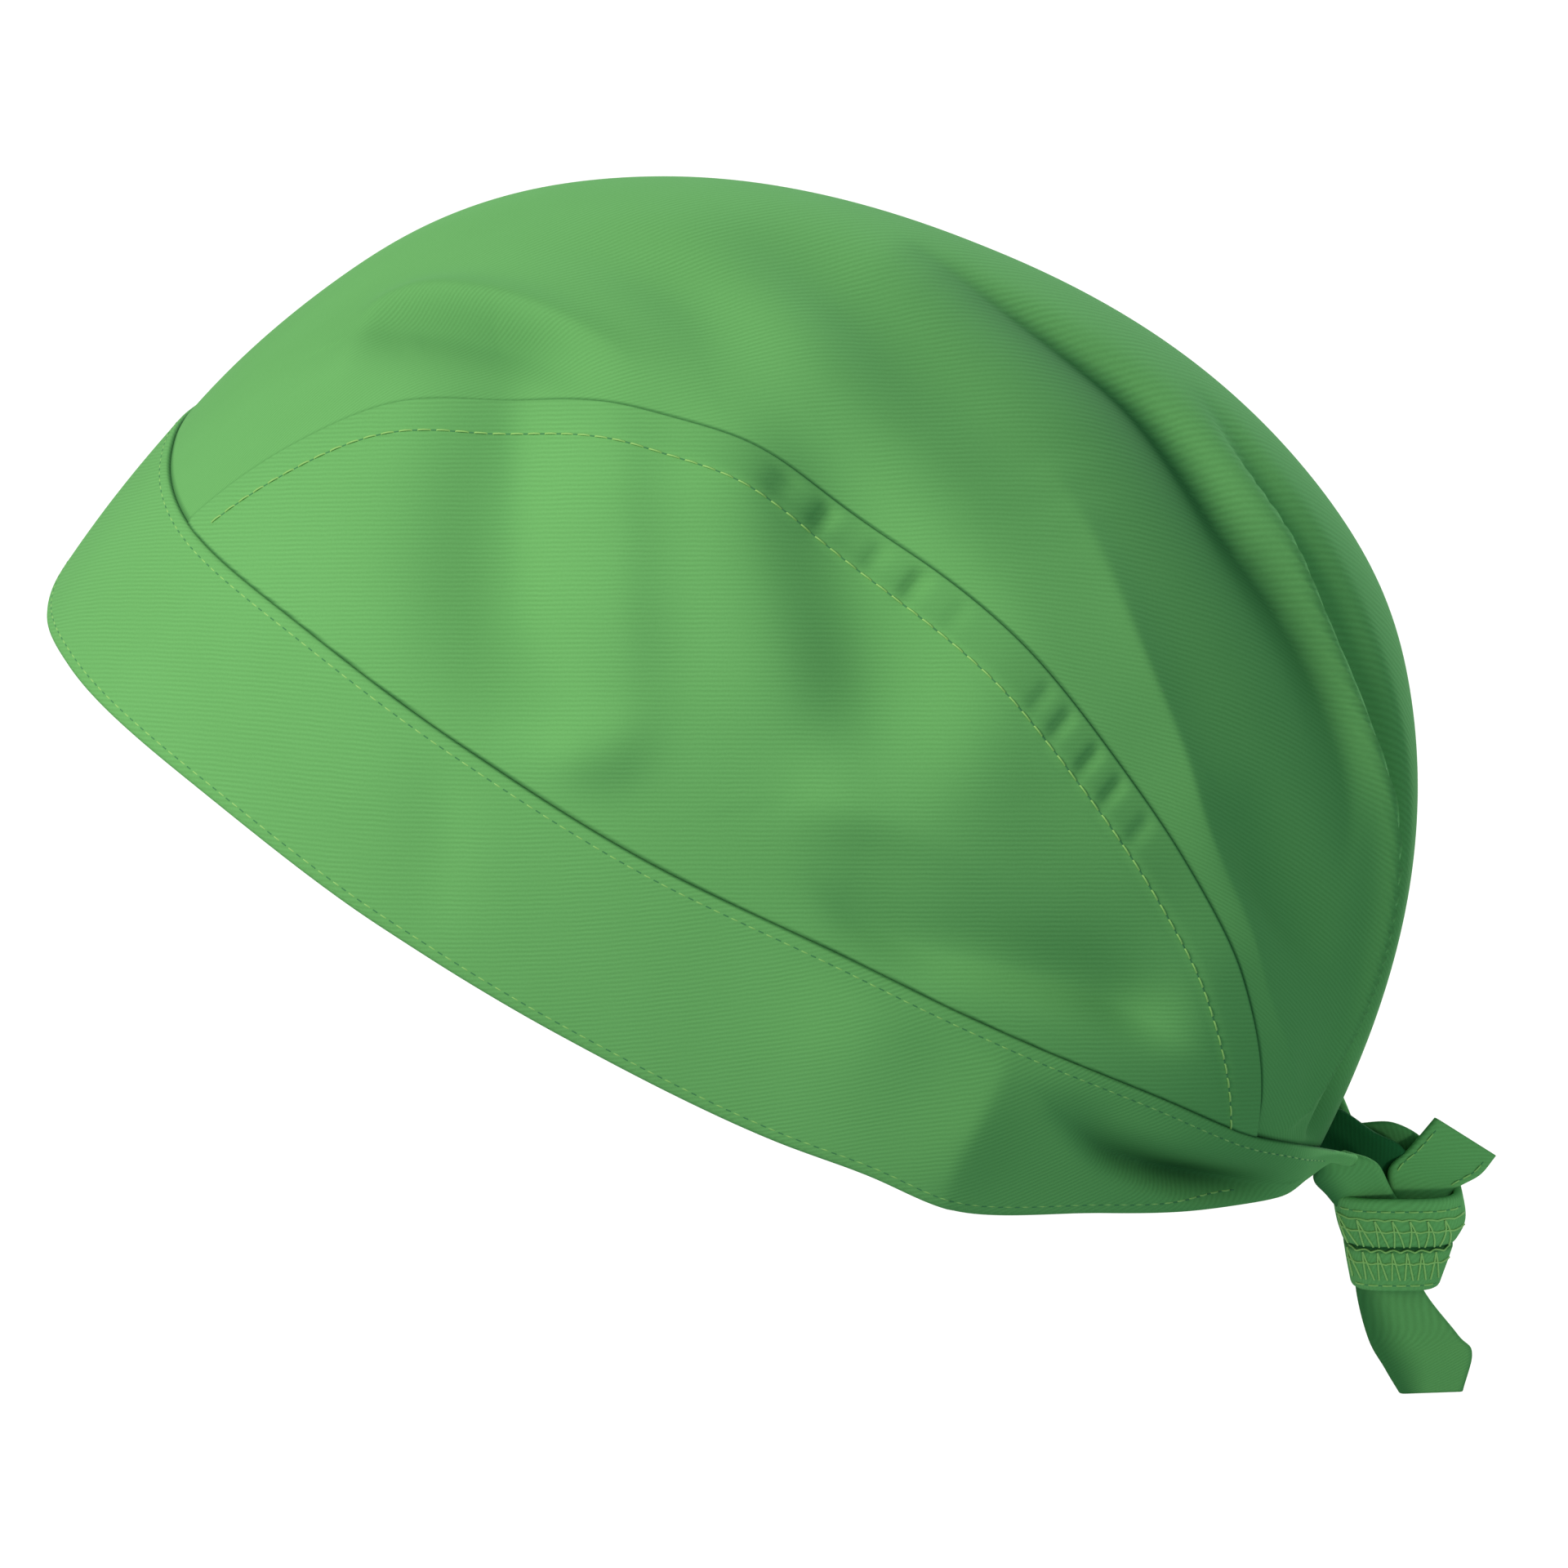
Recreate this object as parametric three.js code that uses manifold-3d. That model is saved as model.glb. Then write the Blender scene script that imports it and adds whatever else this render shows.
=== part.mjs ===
// A chef's bandana in green twill, as worn: a crown panel and two side panels sewn to a headband,
// with a tie on each end of the band and the ties knotted at the nape.
// Millimetres, +Z up, front towards -Y, wearer's left towards +X, origin in the middle of the head opening.

import * as THREE from 'three';
import Module from 'manifold-3d';

// The head form, measured from the middle of the rim's plane
const FRONT_REACH = 105;
const BACK_REACH = 104;
const HALF_WIDTH = 80;
const DOME_HEIGHT = 110;
const OVAL_POWER = 2.25; // 2 is an ellipse, more is squarer
const FRONT_FULLNESS = 2.08; // the same power for the profile over the forehead
const BACK_FULLNESS = 2.5; // and over the slack back of the crown
const WORN_TILT_DEG = 24.7; // the rim drops from the forehead to the nape

// The cloth
const PANEL_WALL = 1.4;
const BAND_WALL = 2.2;
const SEAM_GAP = 0.5;
const CLOTH_GREEN = 0x5fa85b;
const CLOTH_ROUGHNESS = 0.9;

// Headband, by bearing from the middle of the forehead: the heights of its rim and of its seam to the panels,
// how far each stands out from the form, and how far the crown is tucked down behind the seam
const BAND_SECTIONS = [
  { bearing: 0, rim: 1.5, seam: 32.6, rimOut: 3.4, seamOut: 0.5, tuck: 0 },
  { bearing: 15, rim: 4, seam: 32.6, rimOut: 2.8, seamOut: 0.5, tuck: 0 },
  { bearing: 35, rim: 6, seam: 34.4, rimOut: 1.8, seamOut: 0.6, tuck: 0 },
  { bearing: 55, rim: 4.6, seam: 32.8, rimOut: 1.2, seamOut: 0.8, tuck: 0 },
  { bearing: 75, rim: 1.8, seam: 30.6, rimOut: 0.8, seamOut: 0.8, tuck: 0 },
  { bearing: 100, rim: -0.5, seam: 29.2, rimOut: 0.8, seamOut: 0.8, tuck: 0 },
  { bearing: 120, rim: -0.5, seam: 26.4, rimOut: 0.8, seamOut: 0.8, tuck: 0 },
  { bearing: 135, rim: 2.8, seam: 23.5, rimOut: 0.8, seamOut: 0.8, tuck: 0 },
  { bearing: 150, rim: 5.4, seam: 17.5, rimOut: 1.2, seamOut: 1.2, tuck: 0 },
  { bearing: 164, rim: 5.4, seam: 12, rimOut: 3, seamOut: 3, tuck: 0 },
  { bearing: 176, rim: 4, seam: 7.5, rimOut: 6, seamOut: 5.5, tuck: 3.5 },
];
const FLARE_POWER = 1.5; // the flare gathers towards the rim
const BAND_END = BAND_SECTIONS.at(-1).bearing;

// Seam between the crown and a side panel, which leaves the band near the forehead and comes back to it near
// the nape: fan is the angle over the top from front to back, spread the angle out to the side
const FRONT_CORNER_BEARING = 20.5;
const BACK_CORNER_BEARING = 148.5;
const CROWN_SEAM = [
  { fan: 40, spread: 19 },
  { fan: 60, spread: 25.5 },
  { fan: 82, spread: 33.2 },
  { fan: 104, spread: 38.8 },
  { fan: 126, spread: 40.2 },
  { fan: 147, spread: 37.2 },
];

// Folds, each along a line through three [fan, spread] places. lift is the height of a ridge, or the depth
// of a valley where it is negative. left and right are how far it spreads, looking along it from outside.
const FOLDS = [
  { name: 'brow_dent', sides: 'L', from: [34, 8], by: [46, 17], to: [56, 26], lift: -5.5, left: 7, right: 10 },
  { name: 'far_brow_dent', sides: 'R', from: [36, 14], by: [46, 20], to: [58, 27], lift: -4, left: 8, right: 10 },
  { name: 'brow_ridge', sides: 'L', from: [36, 8], by: [48, 13], to: [62, 22], lift: 1.5, left: 7, right: 5 },
  { name: 'crown_hollow', sides: 'LR', from: [64, 4], by: [73, 16], to: [83, 31], lift: -2.5, left: 14, right: 12 },
  { name: 'long_valley', sides: 'L', from: [78, 1], by: [107, 19], to: [136, 23], lift: -8, left: 8, right: 13 },
  { name: 'far_valley', sides: 'R', from: [84, 10], by: [106, 22], to: [134, 24], lift: -6, left: 9, right: 12 },
  { name: 'seam_ridge', sides: 'L', from: [96, 22], by: [129, 34], to: [168, 26], lift: 2.5, left: 8, right: 12 },
  { name: 'hanging_fold', sides: 'L', from: [98, 5], by: [128, 15], to: [160, 20], lift: 1.5, left: 6, right: 8 },
  { name: 'far_fold', sides: 'R', from: [100, 14], by: [130, 18], to: [162, 20], lift: 1.5, left: 7, right: 8 },
  { name: 'hanging_foot', sides: 'LR', from: [146, 16], by: [161, 22], to: [174, 32], lift: 3.5, left: 6, right: 9 },
  { name: 'tucked_valley', sides: 'L', from: [106, 5], by: [136, 10], to: [176, 14], lift: -7, left: 7, right: 7 },
  { name: 'far_tuck', sides: 'R', from: [116, 9], by: [140, 11], to: [176, 14], lift: -5, left: 7, right: 7 },
  { name: 'nape_tuck', sides: 'L', from: [166, -24], by: [170, 0], to: [166, 24], lift: -3, left: 11, right: 11 },
  { name: 'temple_dent', sides: 'LR', from: [44, 27], by: [40, 39], to: [40, 51], lift: -3, left: 9, right: 11 },
  { name: 'temple_swell', sides: 'L', from: [55, 30], by: [53, 39], to: [50, 48], lift: 2, left: 12, right: 12 },
  { name: 'side_dent', sides: 'LR', from: [69, 30], by: [78, 43], to: [95, 54], lift: -5, left: 12, right: 10 },
  { name: 'side_swell', sides: 'L', from: [80, 38], by: [94, 46], to: [110, 48], lift: 2, left: 11, right: 11 },
  { name: 'low_dent', sides: 'LR', from: [94, 63], by: [120, 58], to: [144, 44], lift: -4, left: 11, right: 9 },
  { name: 'back_swell', sides: 'L', from: [106, 46], by: [126, 45], to: [146, 42], lift: 2, left: 12, right: 12 },
  { name: 'band_lip', sides: 'LR', from: [148, 55], by: [164, 41], to: [172, 22], lift: 3, left: 6, right: 6 },
  { name: 'band_valley', sides: 'LR', from: [155, 58], by: [169, 42], to: [175, 18], lift: -6, left: 6, right: 5 },
];

// The knot, around its own centre: x towards the wearer's left, y to the back, z up
const KNOT_CENTRE = new THREE.Vector3(0, 103, -45);
const TIE_WALL = 1.5;

// Each tie section runs from edge a to edge b of the strip
const LEFT_TIE = [
  { a: [6.9, -2.4, 2.8], b: [6.9, -0.6, 6.4], thick: 1.8 },
  { a: [5.6, -5.0, 0.0], b: [5.6, 2.5, 2.2], thick: 1.5 },
  { a: [0.5, -1.8, -4.8], b: [1.6, 5.0, -4.6], thick: 1.5 },
  { a: [0.0, 1.2, -13.0], b: [0.4, 9.2, -13.0], thick: 1.6 },
  { a: [0.0, 1.2, -21.5], b: [0.0, 9.6, -21.5], thick: 1.6 },
  { a: [2.0, 1.9, -29.0], b: [0.0, 15.6, -29.4], thick: 1.5 },
  { a: [3.0, 4.2, -33.5], b: [0.5, 18.0, -32.0], thick: 1.5 },
  { a: [3.5, 6.6, -37.3], b: [1.5, 16.6, -38.0], thick: 1.5 },
];
const RIGHT_STRAP = [
  { a: [-6.9, -3.6, 2.2], b: [-6.9, -0.6, 7.0], thick: 1.8 },
  { a: [-4.5, -3.5, 1.0], b: [-4.0, 0.8, 6.5], thick: 1.8 },
  { a: [-1.0, 1.0, -2.0], b: [-1.0, 5.5, 3], thick: 1.8 },
  { a: [-2.5, 5.0, -7.5], b: [-2.5, 9.0, -2.5], thick: 1.8 },
];
const RIGHT_BIGHT = [
  { a: [-6.2, -2.0, 4.5], b: [-6.2, -1.0, 8.5], thick: 1.5 },
  { a: [-4.5, 4.0, 1.5], b: [-4.5, 5.0, 5.5], thick: 1.5 },
  { a: [-3.5, 8.5, -3.5], b: [-3.5, 10.5, 0.5], thick: 1.5 },
  { a: [-3.2, 8.0, -8.5], b: [-3.2, 11.5, -7.5], thick: 1.5 },
];
const UPPER_TAIL = [
  { a: [-3.0, 4.8, -8.5], b: [-2.0, 12.8, -8.0], thick: 1.6 },
  { a: [-0.5, 3.8, -2.0], b: [1.0, 14.6, -4.6], thick: 1.6 },
  { a: [1.5, 7.2, 2.6], b: [3.0, 18.4, -1.6], thick: 1.5 },
  { a: [3.0, 11.2, 8.2], b: [4.0, 21.0, 2.0], thick: 1.5 },
];

// The right tie's turn round the left one: outer half sizes at each height, and how far back its middle lies
const WRAP_RINGS = [
  { z: -4.6, middle: 5.2, halfLength: 10.2, halfDepth: 5.6 },
  { z: -10.0, middle: 6.0, halfLength: 10.0, halfDepth: 5.8 },
  { z: -13.2, middle: 5.8, halfLength: 8.8, halfDepth: 5.0 },
  { z: -16.5, middle: 5.6, halfLength: 8.0, halfDepth: 5.0 },
  { z: -21.0, middle: 5.4, halfLength: 6.9, halfDepth: 4.2 },
];

// How finely the pieces are faceted
const CROWN_GRID = { along: 48, across: 30 };
const SIDE_GRID = { along: 26, across: 8 };
const BAND_GRID = { along: 66, across: 6 };
const TIE_GRID = { along: 10, across: 3 };
const WRAP_GRID = { along: 20, across: 6 };
const FOLD_STEPS = 8;
const NUDGE = 0.004; // step in direction for measuring slopes

const { clamp, degToRad, lerp, radToDeg } = THREE.MathUtils;
const vector = (x, y, z) => new THREE.Vector3(x, y, z);
const mixed = (a, b, share) => new THREE.Vector3().lerpVectors(a, b, share);

// Reads one column of a section table at any place along another, on a smooth curve through the rows
function readTable(table, key, column, at) {
  const last = table.length - 1;
  let row = table.findIndex((section) => section[key] > at) - 1;
  if (row < 0) row = at < table[0][key] ? 0 : last - 1;
  const share = clamp((at - table[row][key]) / (table[row + 1][key] - table[row][key]), 0, 1);
  const value = (i) => table[clamp(i, 0, last)][column];
  const curve = new THREE.CatmullRomCurve3(
    [-1, 0, 1, 2].map((step) => vector(step, value(row + step), 0)), false, 'catmullrom');
  return curve.getPoint((1 + share) / 3).y;
}

// A direction given by its angle over the top from front to back and its angle out to the side
function fanDirection(fan, spread) {
  const reach = Math.cos(degToRad(spread));
  return vector(Math.sin(degToRad(spread)), -reach * Math.cos(degToRad(fan)), reach * Math.sin(degToRad(fan)));
}

// Profile fullness and reach of the form at a bearing
function fullnessAt(x, y) {
  const frontShare = (1 - y / Math.hypot(x, y, 1e-9)) / 2;
  return lerp(BACK_FULLNESS, FRONT_FULLNESS, frontShare);
}

function ovalShare(x, y) {
  const reach = y < 0 ? FRONT_REACH : BACK_REACH;
  const sum = (Math.abs(x) / HALF_WIDTH) ** OVAL_POWER + (Math.abs(y) / reach) ** OVAL_POWER;
  return sum ** (1 / OVAL_POWER);
}

// The point of the head form in a direction from its centre
function domePoint(direction) {
  const { x, y, z } = direction;
  const power = fullnessAt(x, y);
  const sum = ovalShare(x, y) ** power + (Math.abs(z) / DOME_HEIGHT) ** power;
  return direction.clone().multiplyScalar(sum ** (-1 / power));
}

// Two directions a small step away, for slopes
function besides(direction) {
  const helper = Math.abs(direction.z) < 0.9 ? vector(0, 0, 1) : vector(0, 1, 0);
  const sideways = helper.cross(direction).normalize();
  const upward = direction.clone().cross(sideways).normalize();
  return [sideways, upward].map((step) => direction.clone().addScaledVector(step, NUDGE).normalize());
}

function normalFrom(at, direction, middle) {
  const [sideways, upward] = besides(direction).map((near) => at(near).sub(middle));
  return sideways.cross(upward).normalize();
}

// The direction to a height above the rim at a bearing from the forehead
function heightDirection(bearing, height) {
  const x = Math.sin(degToRad(bearing));
  const y = -Math.cos(degToRad(bearing));
  const power = fullnessAt(x, y);
  const reach = (1 - (Math.abs(height) / DOME_HEIGHT) ** power) ** (1 / power) / ovalShare(x, y);
  return vector(x * reach, y * reach, height).normalize();
}

const bandSize = (bearing, column) => readTable(BAND_SECTIONS, 'bearing', column, Math.abs(bearing));
const bandEdge = (bearing, column) => heightDirection(bearing, bandSize(bearing, column));

// Lines of the folds on the form
function foldLine({ from, by, to }) {
  const curve = new THREE.CatmullRomCurve3([from, by, to].map((place) => fanDirection(...place)));
  return curve.getPoints(FOLD_STEPS).map((direction) => domePoint(direction.normalize()));
}

const FOLD_LINES = FOLDS.map((fold) => ({ ...fold, line: foldLine(fold) }));

// How far one fold lifts the cloth at a point of the form
function liftOfFold({ line, lift, left, right }, point) {
  const nearest = vector();
  const best = { gap: Infinity };
  for (let i = 0; i < FOLD_STEPS; i++) {
    const stretch = new THREE.Line3(line[i], line[i + 1]);
    const share = stretch.closestPointToPointParameter(point, true);
    const gap = stretch.at(share, nearest).distanceTo(point);
    if (gap < best.gap) {
      const leftward = point.clone().cross(stretch.delta(vector()));
      best.isLeft = point.clone().sub(nearest).dot(leftward) > 0;
      best.along = (i + share) / FOLD_STEPS;
      best.gap = gap;
    }
  }
  const swell = 4 * best.along * (1 - best.along); // fullest in the middle of its line, nothing at its ends
  return lift * swell * Math.exp(-((best.gap / (best.isLeft ? left : right)) ** 2));
}

function liftAt(point) {
  const mirrored = vector(-point.x, point.y, point.z);
  let lift = 0;
  for (const fold of FOLD_LINES) {
    if (fold.sides.includes('L')) lift += liftOfFold(fold, point);
    if (fold.sides.includes('R')) lift += liftOfFold(fold, mirrored);
  }
  return lift;
}

// The folded cloth in a direction
function clothPoint(direction) {
  const point = domePoint(direction);
  return point.clone().addScaledVector(normalFrom(domePoint, direction, point), liftAt(point));
}

// Both faces of a wall of cloth whose outer face stands proud of the form
function clothWall(direction, proud, wall) {
  const point = clothPoint(direction);
  const normal = normalFrom(clothPoint, direction, point);
  return [point.clone().addScaledVector(normal, proud), point.addScaledVector(normal, proud - wall)];
}

// A closed solid from a grid of wall points: faceAt gives the outer and the inner point of a place.
// A looped grid joins its last column to its first.
function wallSolid({ along, across }, faceAt, looped = false) {
  const columns = looped ? along : along + 1;
  const rows = across + 1;
  const places = [];
  for (let i = 0; i < columns; i++) {
    for (let j = 0; j < rows; j++) places.push(...faceAt(i / along, j / across));
  }
  const index = (i, j, inner) => ((i % columns) * rows + j) * 2 + inner;
  const triangles = [];
  const quad = (a, b, c, d) => triangles.push(a, b, c, a, c, d);
  for (let i = 0; i < along; i++) {
    for (let j = 0; j < across; j++) {
      quad(index(i, j, 0), index(i + 1, j, 0), index(i + 1, j + 1, 0), index(i, j + 1, 0));
      quad(index(i, j, 1), index(i, j + 1, 1), index(i + 1, j + 1, 1), index(i + 1, j, 1));
    }
    quad(index(i, 0, 0), index(i, 0, 1), index(i + 1, 0, 1), index(i + 1, 0, 0));
    quad(index(i, across, 0), index(i + 1, across, 0), index(i + 1, across, 1), index(i, across, 1));
  }
  for (let j = 0; j < across && !looped; j++) {
    quad(index(0, j, 0), index(0, j + 1, 0), index(0, j + 1, 1), index(0, j, 1));
    quad(index(along, j, 0), index(along, j, 1), index(along, j + 1, 1), index(along, j + 1, 0));
  }
  const geometry = new THREE.BufferGeometry();
  const positions = places.flatMap((place) => place.toArray());
  geometry.setAttribute('position', new THREE.Float32BufferAttribute(positions, 3));
  geometry.setIndex(triangles);
  return geometry;
}

// A share from edge to edge that leaves half a seam gap at both
function seamShare(share, width) {
  const margin = SEAM_GAP / 2 / width;
  return lerp(margin, 1 - margin, share);
}

const clothWidth = (a, b) => domePoint(a).distanceTo(domePoint(b));

// Headband: one folded strip round the front and both sides, gathered towards its two ends
function bandGeometry() {
  return wallSolid(BAND_GRID, (along, across) => {
    const bearing = lerp(-BAND_END, BAND_END, along);
    const rim = bandEdge(bearing, 'rim');
    const seam = bandEdge(bearing, 'seam');
    const share = lerp(0, seamShare(1, clothWidth(rim, seam)), across);
    const [rimOut, seamOut] = ['rimOut', 'seamOut'].map((column) => bandSize(bearing, column));
    return clothWall(mixed(rim, seam, share).normalize(), lerp(seamOut, rimOut, (1 - share) ** FLARE_POWER), BAND_WALL);
  });
}

// The seam beside the crown, from corner to corner
function cornerRow(bearing) {
  const corner = bandEdge(bearing, 'seam');
  return { fan: radToDeg(Math.atan2(corner.z, -corner.y)), spread: radToDeg(Math.asin(corner.x)) };
}

const WHOLE_SEAM = [cornerRow(FRONT_CORNER_BEARING), ...CROWN_SEAM, cornerRow(BACK_CORNER_BEARING)];

function crownSeam(along, side) {
  const fan = lerp(WHOLE_SEAM[0].fan, WHOLE_SEAM.at(-1).fan, along);
  return fanDirection(fan, side * readTable(WHOLE_SEAM, 'fan', 'spread', fan));
}

// Side panel: a half-moon between the band and the crown. side is 1 on the wearer's left, -1 on the right.
function sidePanelGeometry(side) {
  const TIP = 0.006; // the points of the half-moon are cut off in the seams
  return wallSolid(SIDE_GRID, (along, across) => {
    const place = lerp(TIP, 1 - TIP, side > 0 ? along : 1 - along);
    const bearing = lerp(FRONT_CORNER_BEARING, BACK_CORNER_BEARING, place);
    const low = bandEdge(side * bearing, 'seam');
    const high = crownSeam(place, side);
    const share = seamShare(across, clothWidth(low, high));
    return clothWall(mixed(low, high, share).normalize(), 0, PANEL_WALL);
  });
}

// Crown panel: from the front of the band over the top to the gathers at the nape
function crownGeometry() {
  const front = (across) => bandEdge(lerp(FRONT_CORNER_BEARING, -FRONT_CORNER_BEARING, across), 'seam');
  const back = (across) => {
    const spread = 180 - BACK_CORNER_BEARING;
    const turn = lerp(spread, -spread, across);
    const bearing = Math.min(180 - Math.abs(turn), BAND_END);
    return heightDirection(180 - turn, bandSize(bearing, 'seam') - bandSize(bearing, 'tuck'));
  };
  return wallSolid(CROWN_GRID, (length, width) => {
    const left = crownSeam(length, 1);
    const right = crownSeam(length, -1);
    const across = seamShare(width, clothWidth(left, right));
    const along = seamShare(length, clothWidth(front(width), back(width)));
    const sideways = mixed(left, right, across);
    const lengthways = mixed(front(across), back(across), along);
    const corners = mixed(
      mixed(front(0), back(0), along), mixed(front(1), back(1), along), across);
    const direction = sideways.add(lengthways).sub(corners).normalize();
    return clothWall(direction, 0, PANEL_WALL);
  });
}

// A strip of tie through a table of sections
function tieGeometry(sections) {
  const edge = (name) => new THREE.CatmullRomCurve3(sections.map((section) => vector(...section[name])));
  const a = edge('a');
  const b = edge('b');
  const thicknesses = sections.map(({ thick }, i) => ({ at: i / (sections.length - 1), thick }));
  return wallSolid(TIE_GRID, (along, across) => {
    const point = mixed(a.getPoint(along), b.getPoint(along), across);
    const run = mixed(a.getTangent(along), b.getTangent(along), across);
    const normal = b.getPoint(along).sub(a.getPoint(along)).cross(run).normalize();
    const half = readTable(thicknesses, 'at', 'thick', along) / 2;
    return [point.clone().addScaledVector(normal, -half), point.addScaledVector(normal, half)];
  });
}

// The turn of the right tie round the left one, open above and below
function wrapGeometry() {
  const upward = [...WRAP_RINGS].reverse();
  return wallSolid(WRAP_GRID, (along, across) => {
    const z = lerp(upward[0].z, upward.at(-1).z, across);
    const turn = along * 2 * Math.PI;
    return [0, TIE_WALL].map((inset) => vector(
      Math.sin(turn) * (readTable(upward, 'z', 'halfDepth', z) - inset),
      readTable(upward, 'z', 'middle', z) - Math.cos(turn) * (readTable(upward, 'z', 'halfLength', z) - inset),
      z));
  }, true);
}

// Joins closed geometries into one solid
const wasm = await Module();
wasm.setup();

function solidOf(geometry) {
  return new wasm.Manifold(new wasm.Mesh({
    numProp: 3,
    vertProperties: Float32Array.from(geometry.attributes.position.array),
    triVerts: Uint32Array.from(geometry.index.array),
  }));
}

function joined(geometries) {
  const mesh = geometries.map(solidOf).reduce((sum, solid) => sum.add(solid)).getMesh();
  const geometry = new THREE.BufferGeometry();
  geometry.setAttribute('position', new THREE.Float32BufferAttribute(mesh.vertProperties, 3));
  geometry.setIndex(Array.from(mesh.triVerts));
  return geometry;
}

function piece(name, geometry) {
  const material = new THREE.MeshStandardMaterial({ color: CLOTH_GREEN, roughness: CLOTH_ROUGHNESS, metalness: 0 });
  const mesh = new THREE.Mesh(geometry, material);
  mesh.name = name;
  return mesh;
}

// The cap is drawn level on its rim and tipped back as it is worn
const cap = new THREE.Group();
cap.rotation.x = -degToRad(WORN_TILT_DEG);
cap.add(
  piece('headband', bandGeometry()),
  piece('crown_panel', crownGeometry()),
  piece('side_panel_left', sidePanelGeometry(1)),
  piece('side_panel_right', sidePanelGeometry(-1)),
);

const knot = new THREE.Group();
knot.position.copy(KNOT_CENTRE);
knot.add(
  piece('tie_left', tieGeometry(LEFT_TIE)),
  piece('tie_right', joined([
    wrapGeometry(), ...[RIGHT_STRAP, RIGHT_BIGHT, UPPER_TAIL].map((sections) => tieGeometry(sections)),
  ])),
);

const bandana = new THREE.Group();
bandana.name = 'chef_bandana';
bandana.add(cap, knot);

export default bandana;
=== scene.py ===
import math

import bmesh
import bpy
import numpy as np
from mathutils import Matrix, Vector


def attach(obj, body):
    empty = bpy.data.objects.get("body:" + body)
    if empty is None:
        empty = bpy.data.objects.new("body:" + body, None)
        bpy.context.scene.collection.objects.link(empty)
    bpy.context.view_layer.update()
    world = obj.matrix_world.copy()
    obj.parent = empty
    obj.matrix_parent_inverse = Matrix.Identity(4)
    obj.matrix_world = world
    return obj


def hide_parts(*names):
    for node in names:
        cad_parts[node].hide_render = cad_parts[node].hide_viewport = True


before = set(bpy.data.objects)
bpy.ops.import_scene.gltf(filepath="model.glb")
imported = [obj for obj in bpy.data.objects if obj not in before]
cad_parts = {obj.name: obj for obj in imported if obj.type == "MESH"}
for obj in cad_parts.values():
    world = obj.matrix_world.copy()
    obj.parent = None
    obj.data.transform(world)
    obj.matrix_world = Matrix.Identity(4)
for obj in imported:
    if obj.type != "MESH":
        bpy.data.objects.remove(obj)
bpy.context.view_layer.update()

# Camera: a long lens looks at the wearer's left side from a little above,
# so the forehead is at the left of the picture and the knot at the right.
CAMERA_TARGET = Vector((0, 0.014, 0.017))
CAMERA_ELEVATION = math.radians(22)
CAMERA_DISTANCE = 1.2
CAMERA_LENS_MM, CAMERA_SENSOR_MM = 180, 36

camera = bpy.data.objects.new("camera", bpy.data.cameras.new("camera"))
camera.data.lens = CAMERA_LENS_MM
camera.data.sensor_width = CAMERA_SENSOR_MM
towards_camera = Vector((math.cos(CAMERA_ELEVATION), 0, math.sin(CAMERA_ELEVATION)))
camera.location = CAMERA_TARGET + towards_camera * CAMERA_DISTANCE
camera.rotation_euler = towards_camera.to_track_quat("Z", "Y").to_euler()
bpy.context.scene.collection.objects.link(camera)
bpy.context.scene.camera = camera

# Crown panel: one long piece of cotton twill from the forehead seam over the top to the nape.
# It is cut full, so it falls in soft folds that run back into the gathers at the knot.
# Its long edges are sewn under the side panels and its ends under the headband.
MM = 0.001

# sizes in millimetres of the level cap, whose middle is the middle of its rim and which is tilted when worn
FRONT_REACH, BACK_REACH = 105, 104
HALF_WIDTH, DOME_HEIGHT = 80, 110
OVAL_POWER = 2.25
FRONT_FULLNESS, BACK_FULLNESS = 2.08, 2.5
WORN_TILT = math.radians(24.7)
PANEL_WALL = 0.9
SEAM_TUCK = 4.0

# bearing, height of the rim, height of the seam, how far each stands out, how far the crown is tucked down;
# the first row mirrors the third, so that the band runs level across the forehead
BAND_SECTIONS = np.array([
    (-15, 4, 32.6, 2.8, 0.5, 0),
    (0, 1.5, 32.6, 3.4, 0.5, 0),
    (15, 4, 32.6, 2.8, 0.5, 0),
    (35, 6, 34.4, 1.8, 0.6, 0),
    (55, 3.8, 32.8, 1.2, 0.8, 0),
    (75, 1.4, 30.6, 0.8, 0.8, 0),
    (100, -0.5, 29.2, 0.8, 0.8, 0),
    (110, -0.2, 27.9, 0.8, 0.8, 0),
    (120, -1.2, 26.4, 0.8, 0.8, 0),
    (135, 3.4, 23.3, 0.8, 0.8, 0),
    (148, 6, 18.4, 1.4, 1, 0),
    (156, 6.6, 15.5, 1.6, 0.6, 0),
    (164, 6, 11.6, 0.8, 1, 0),
    (170, 5.8, 8.4, 2.6, 3.4, 1.5),
    (176, 2.6, 4.8, 7.4, 7.6, 3),
], float)
RIM, SEAM, RIM_OUT, SEAM_OUT, TUCK = range(1, 6)
BAND_END = 176

# angle over the top from front to back, angle out to the side
CROWN_SEAM = [
    (26, 16.4), (32, 17.5), (40, 19), (51, 22.5), (62, 26.4), (73, 29.9),
    (88, 34.7), (102, 37.8), (117, 39.6), (132, 39.2), (147, 36.6),
]
FRONT_CORNER, BACK_CORNER = 16, 148.5

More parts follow.
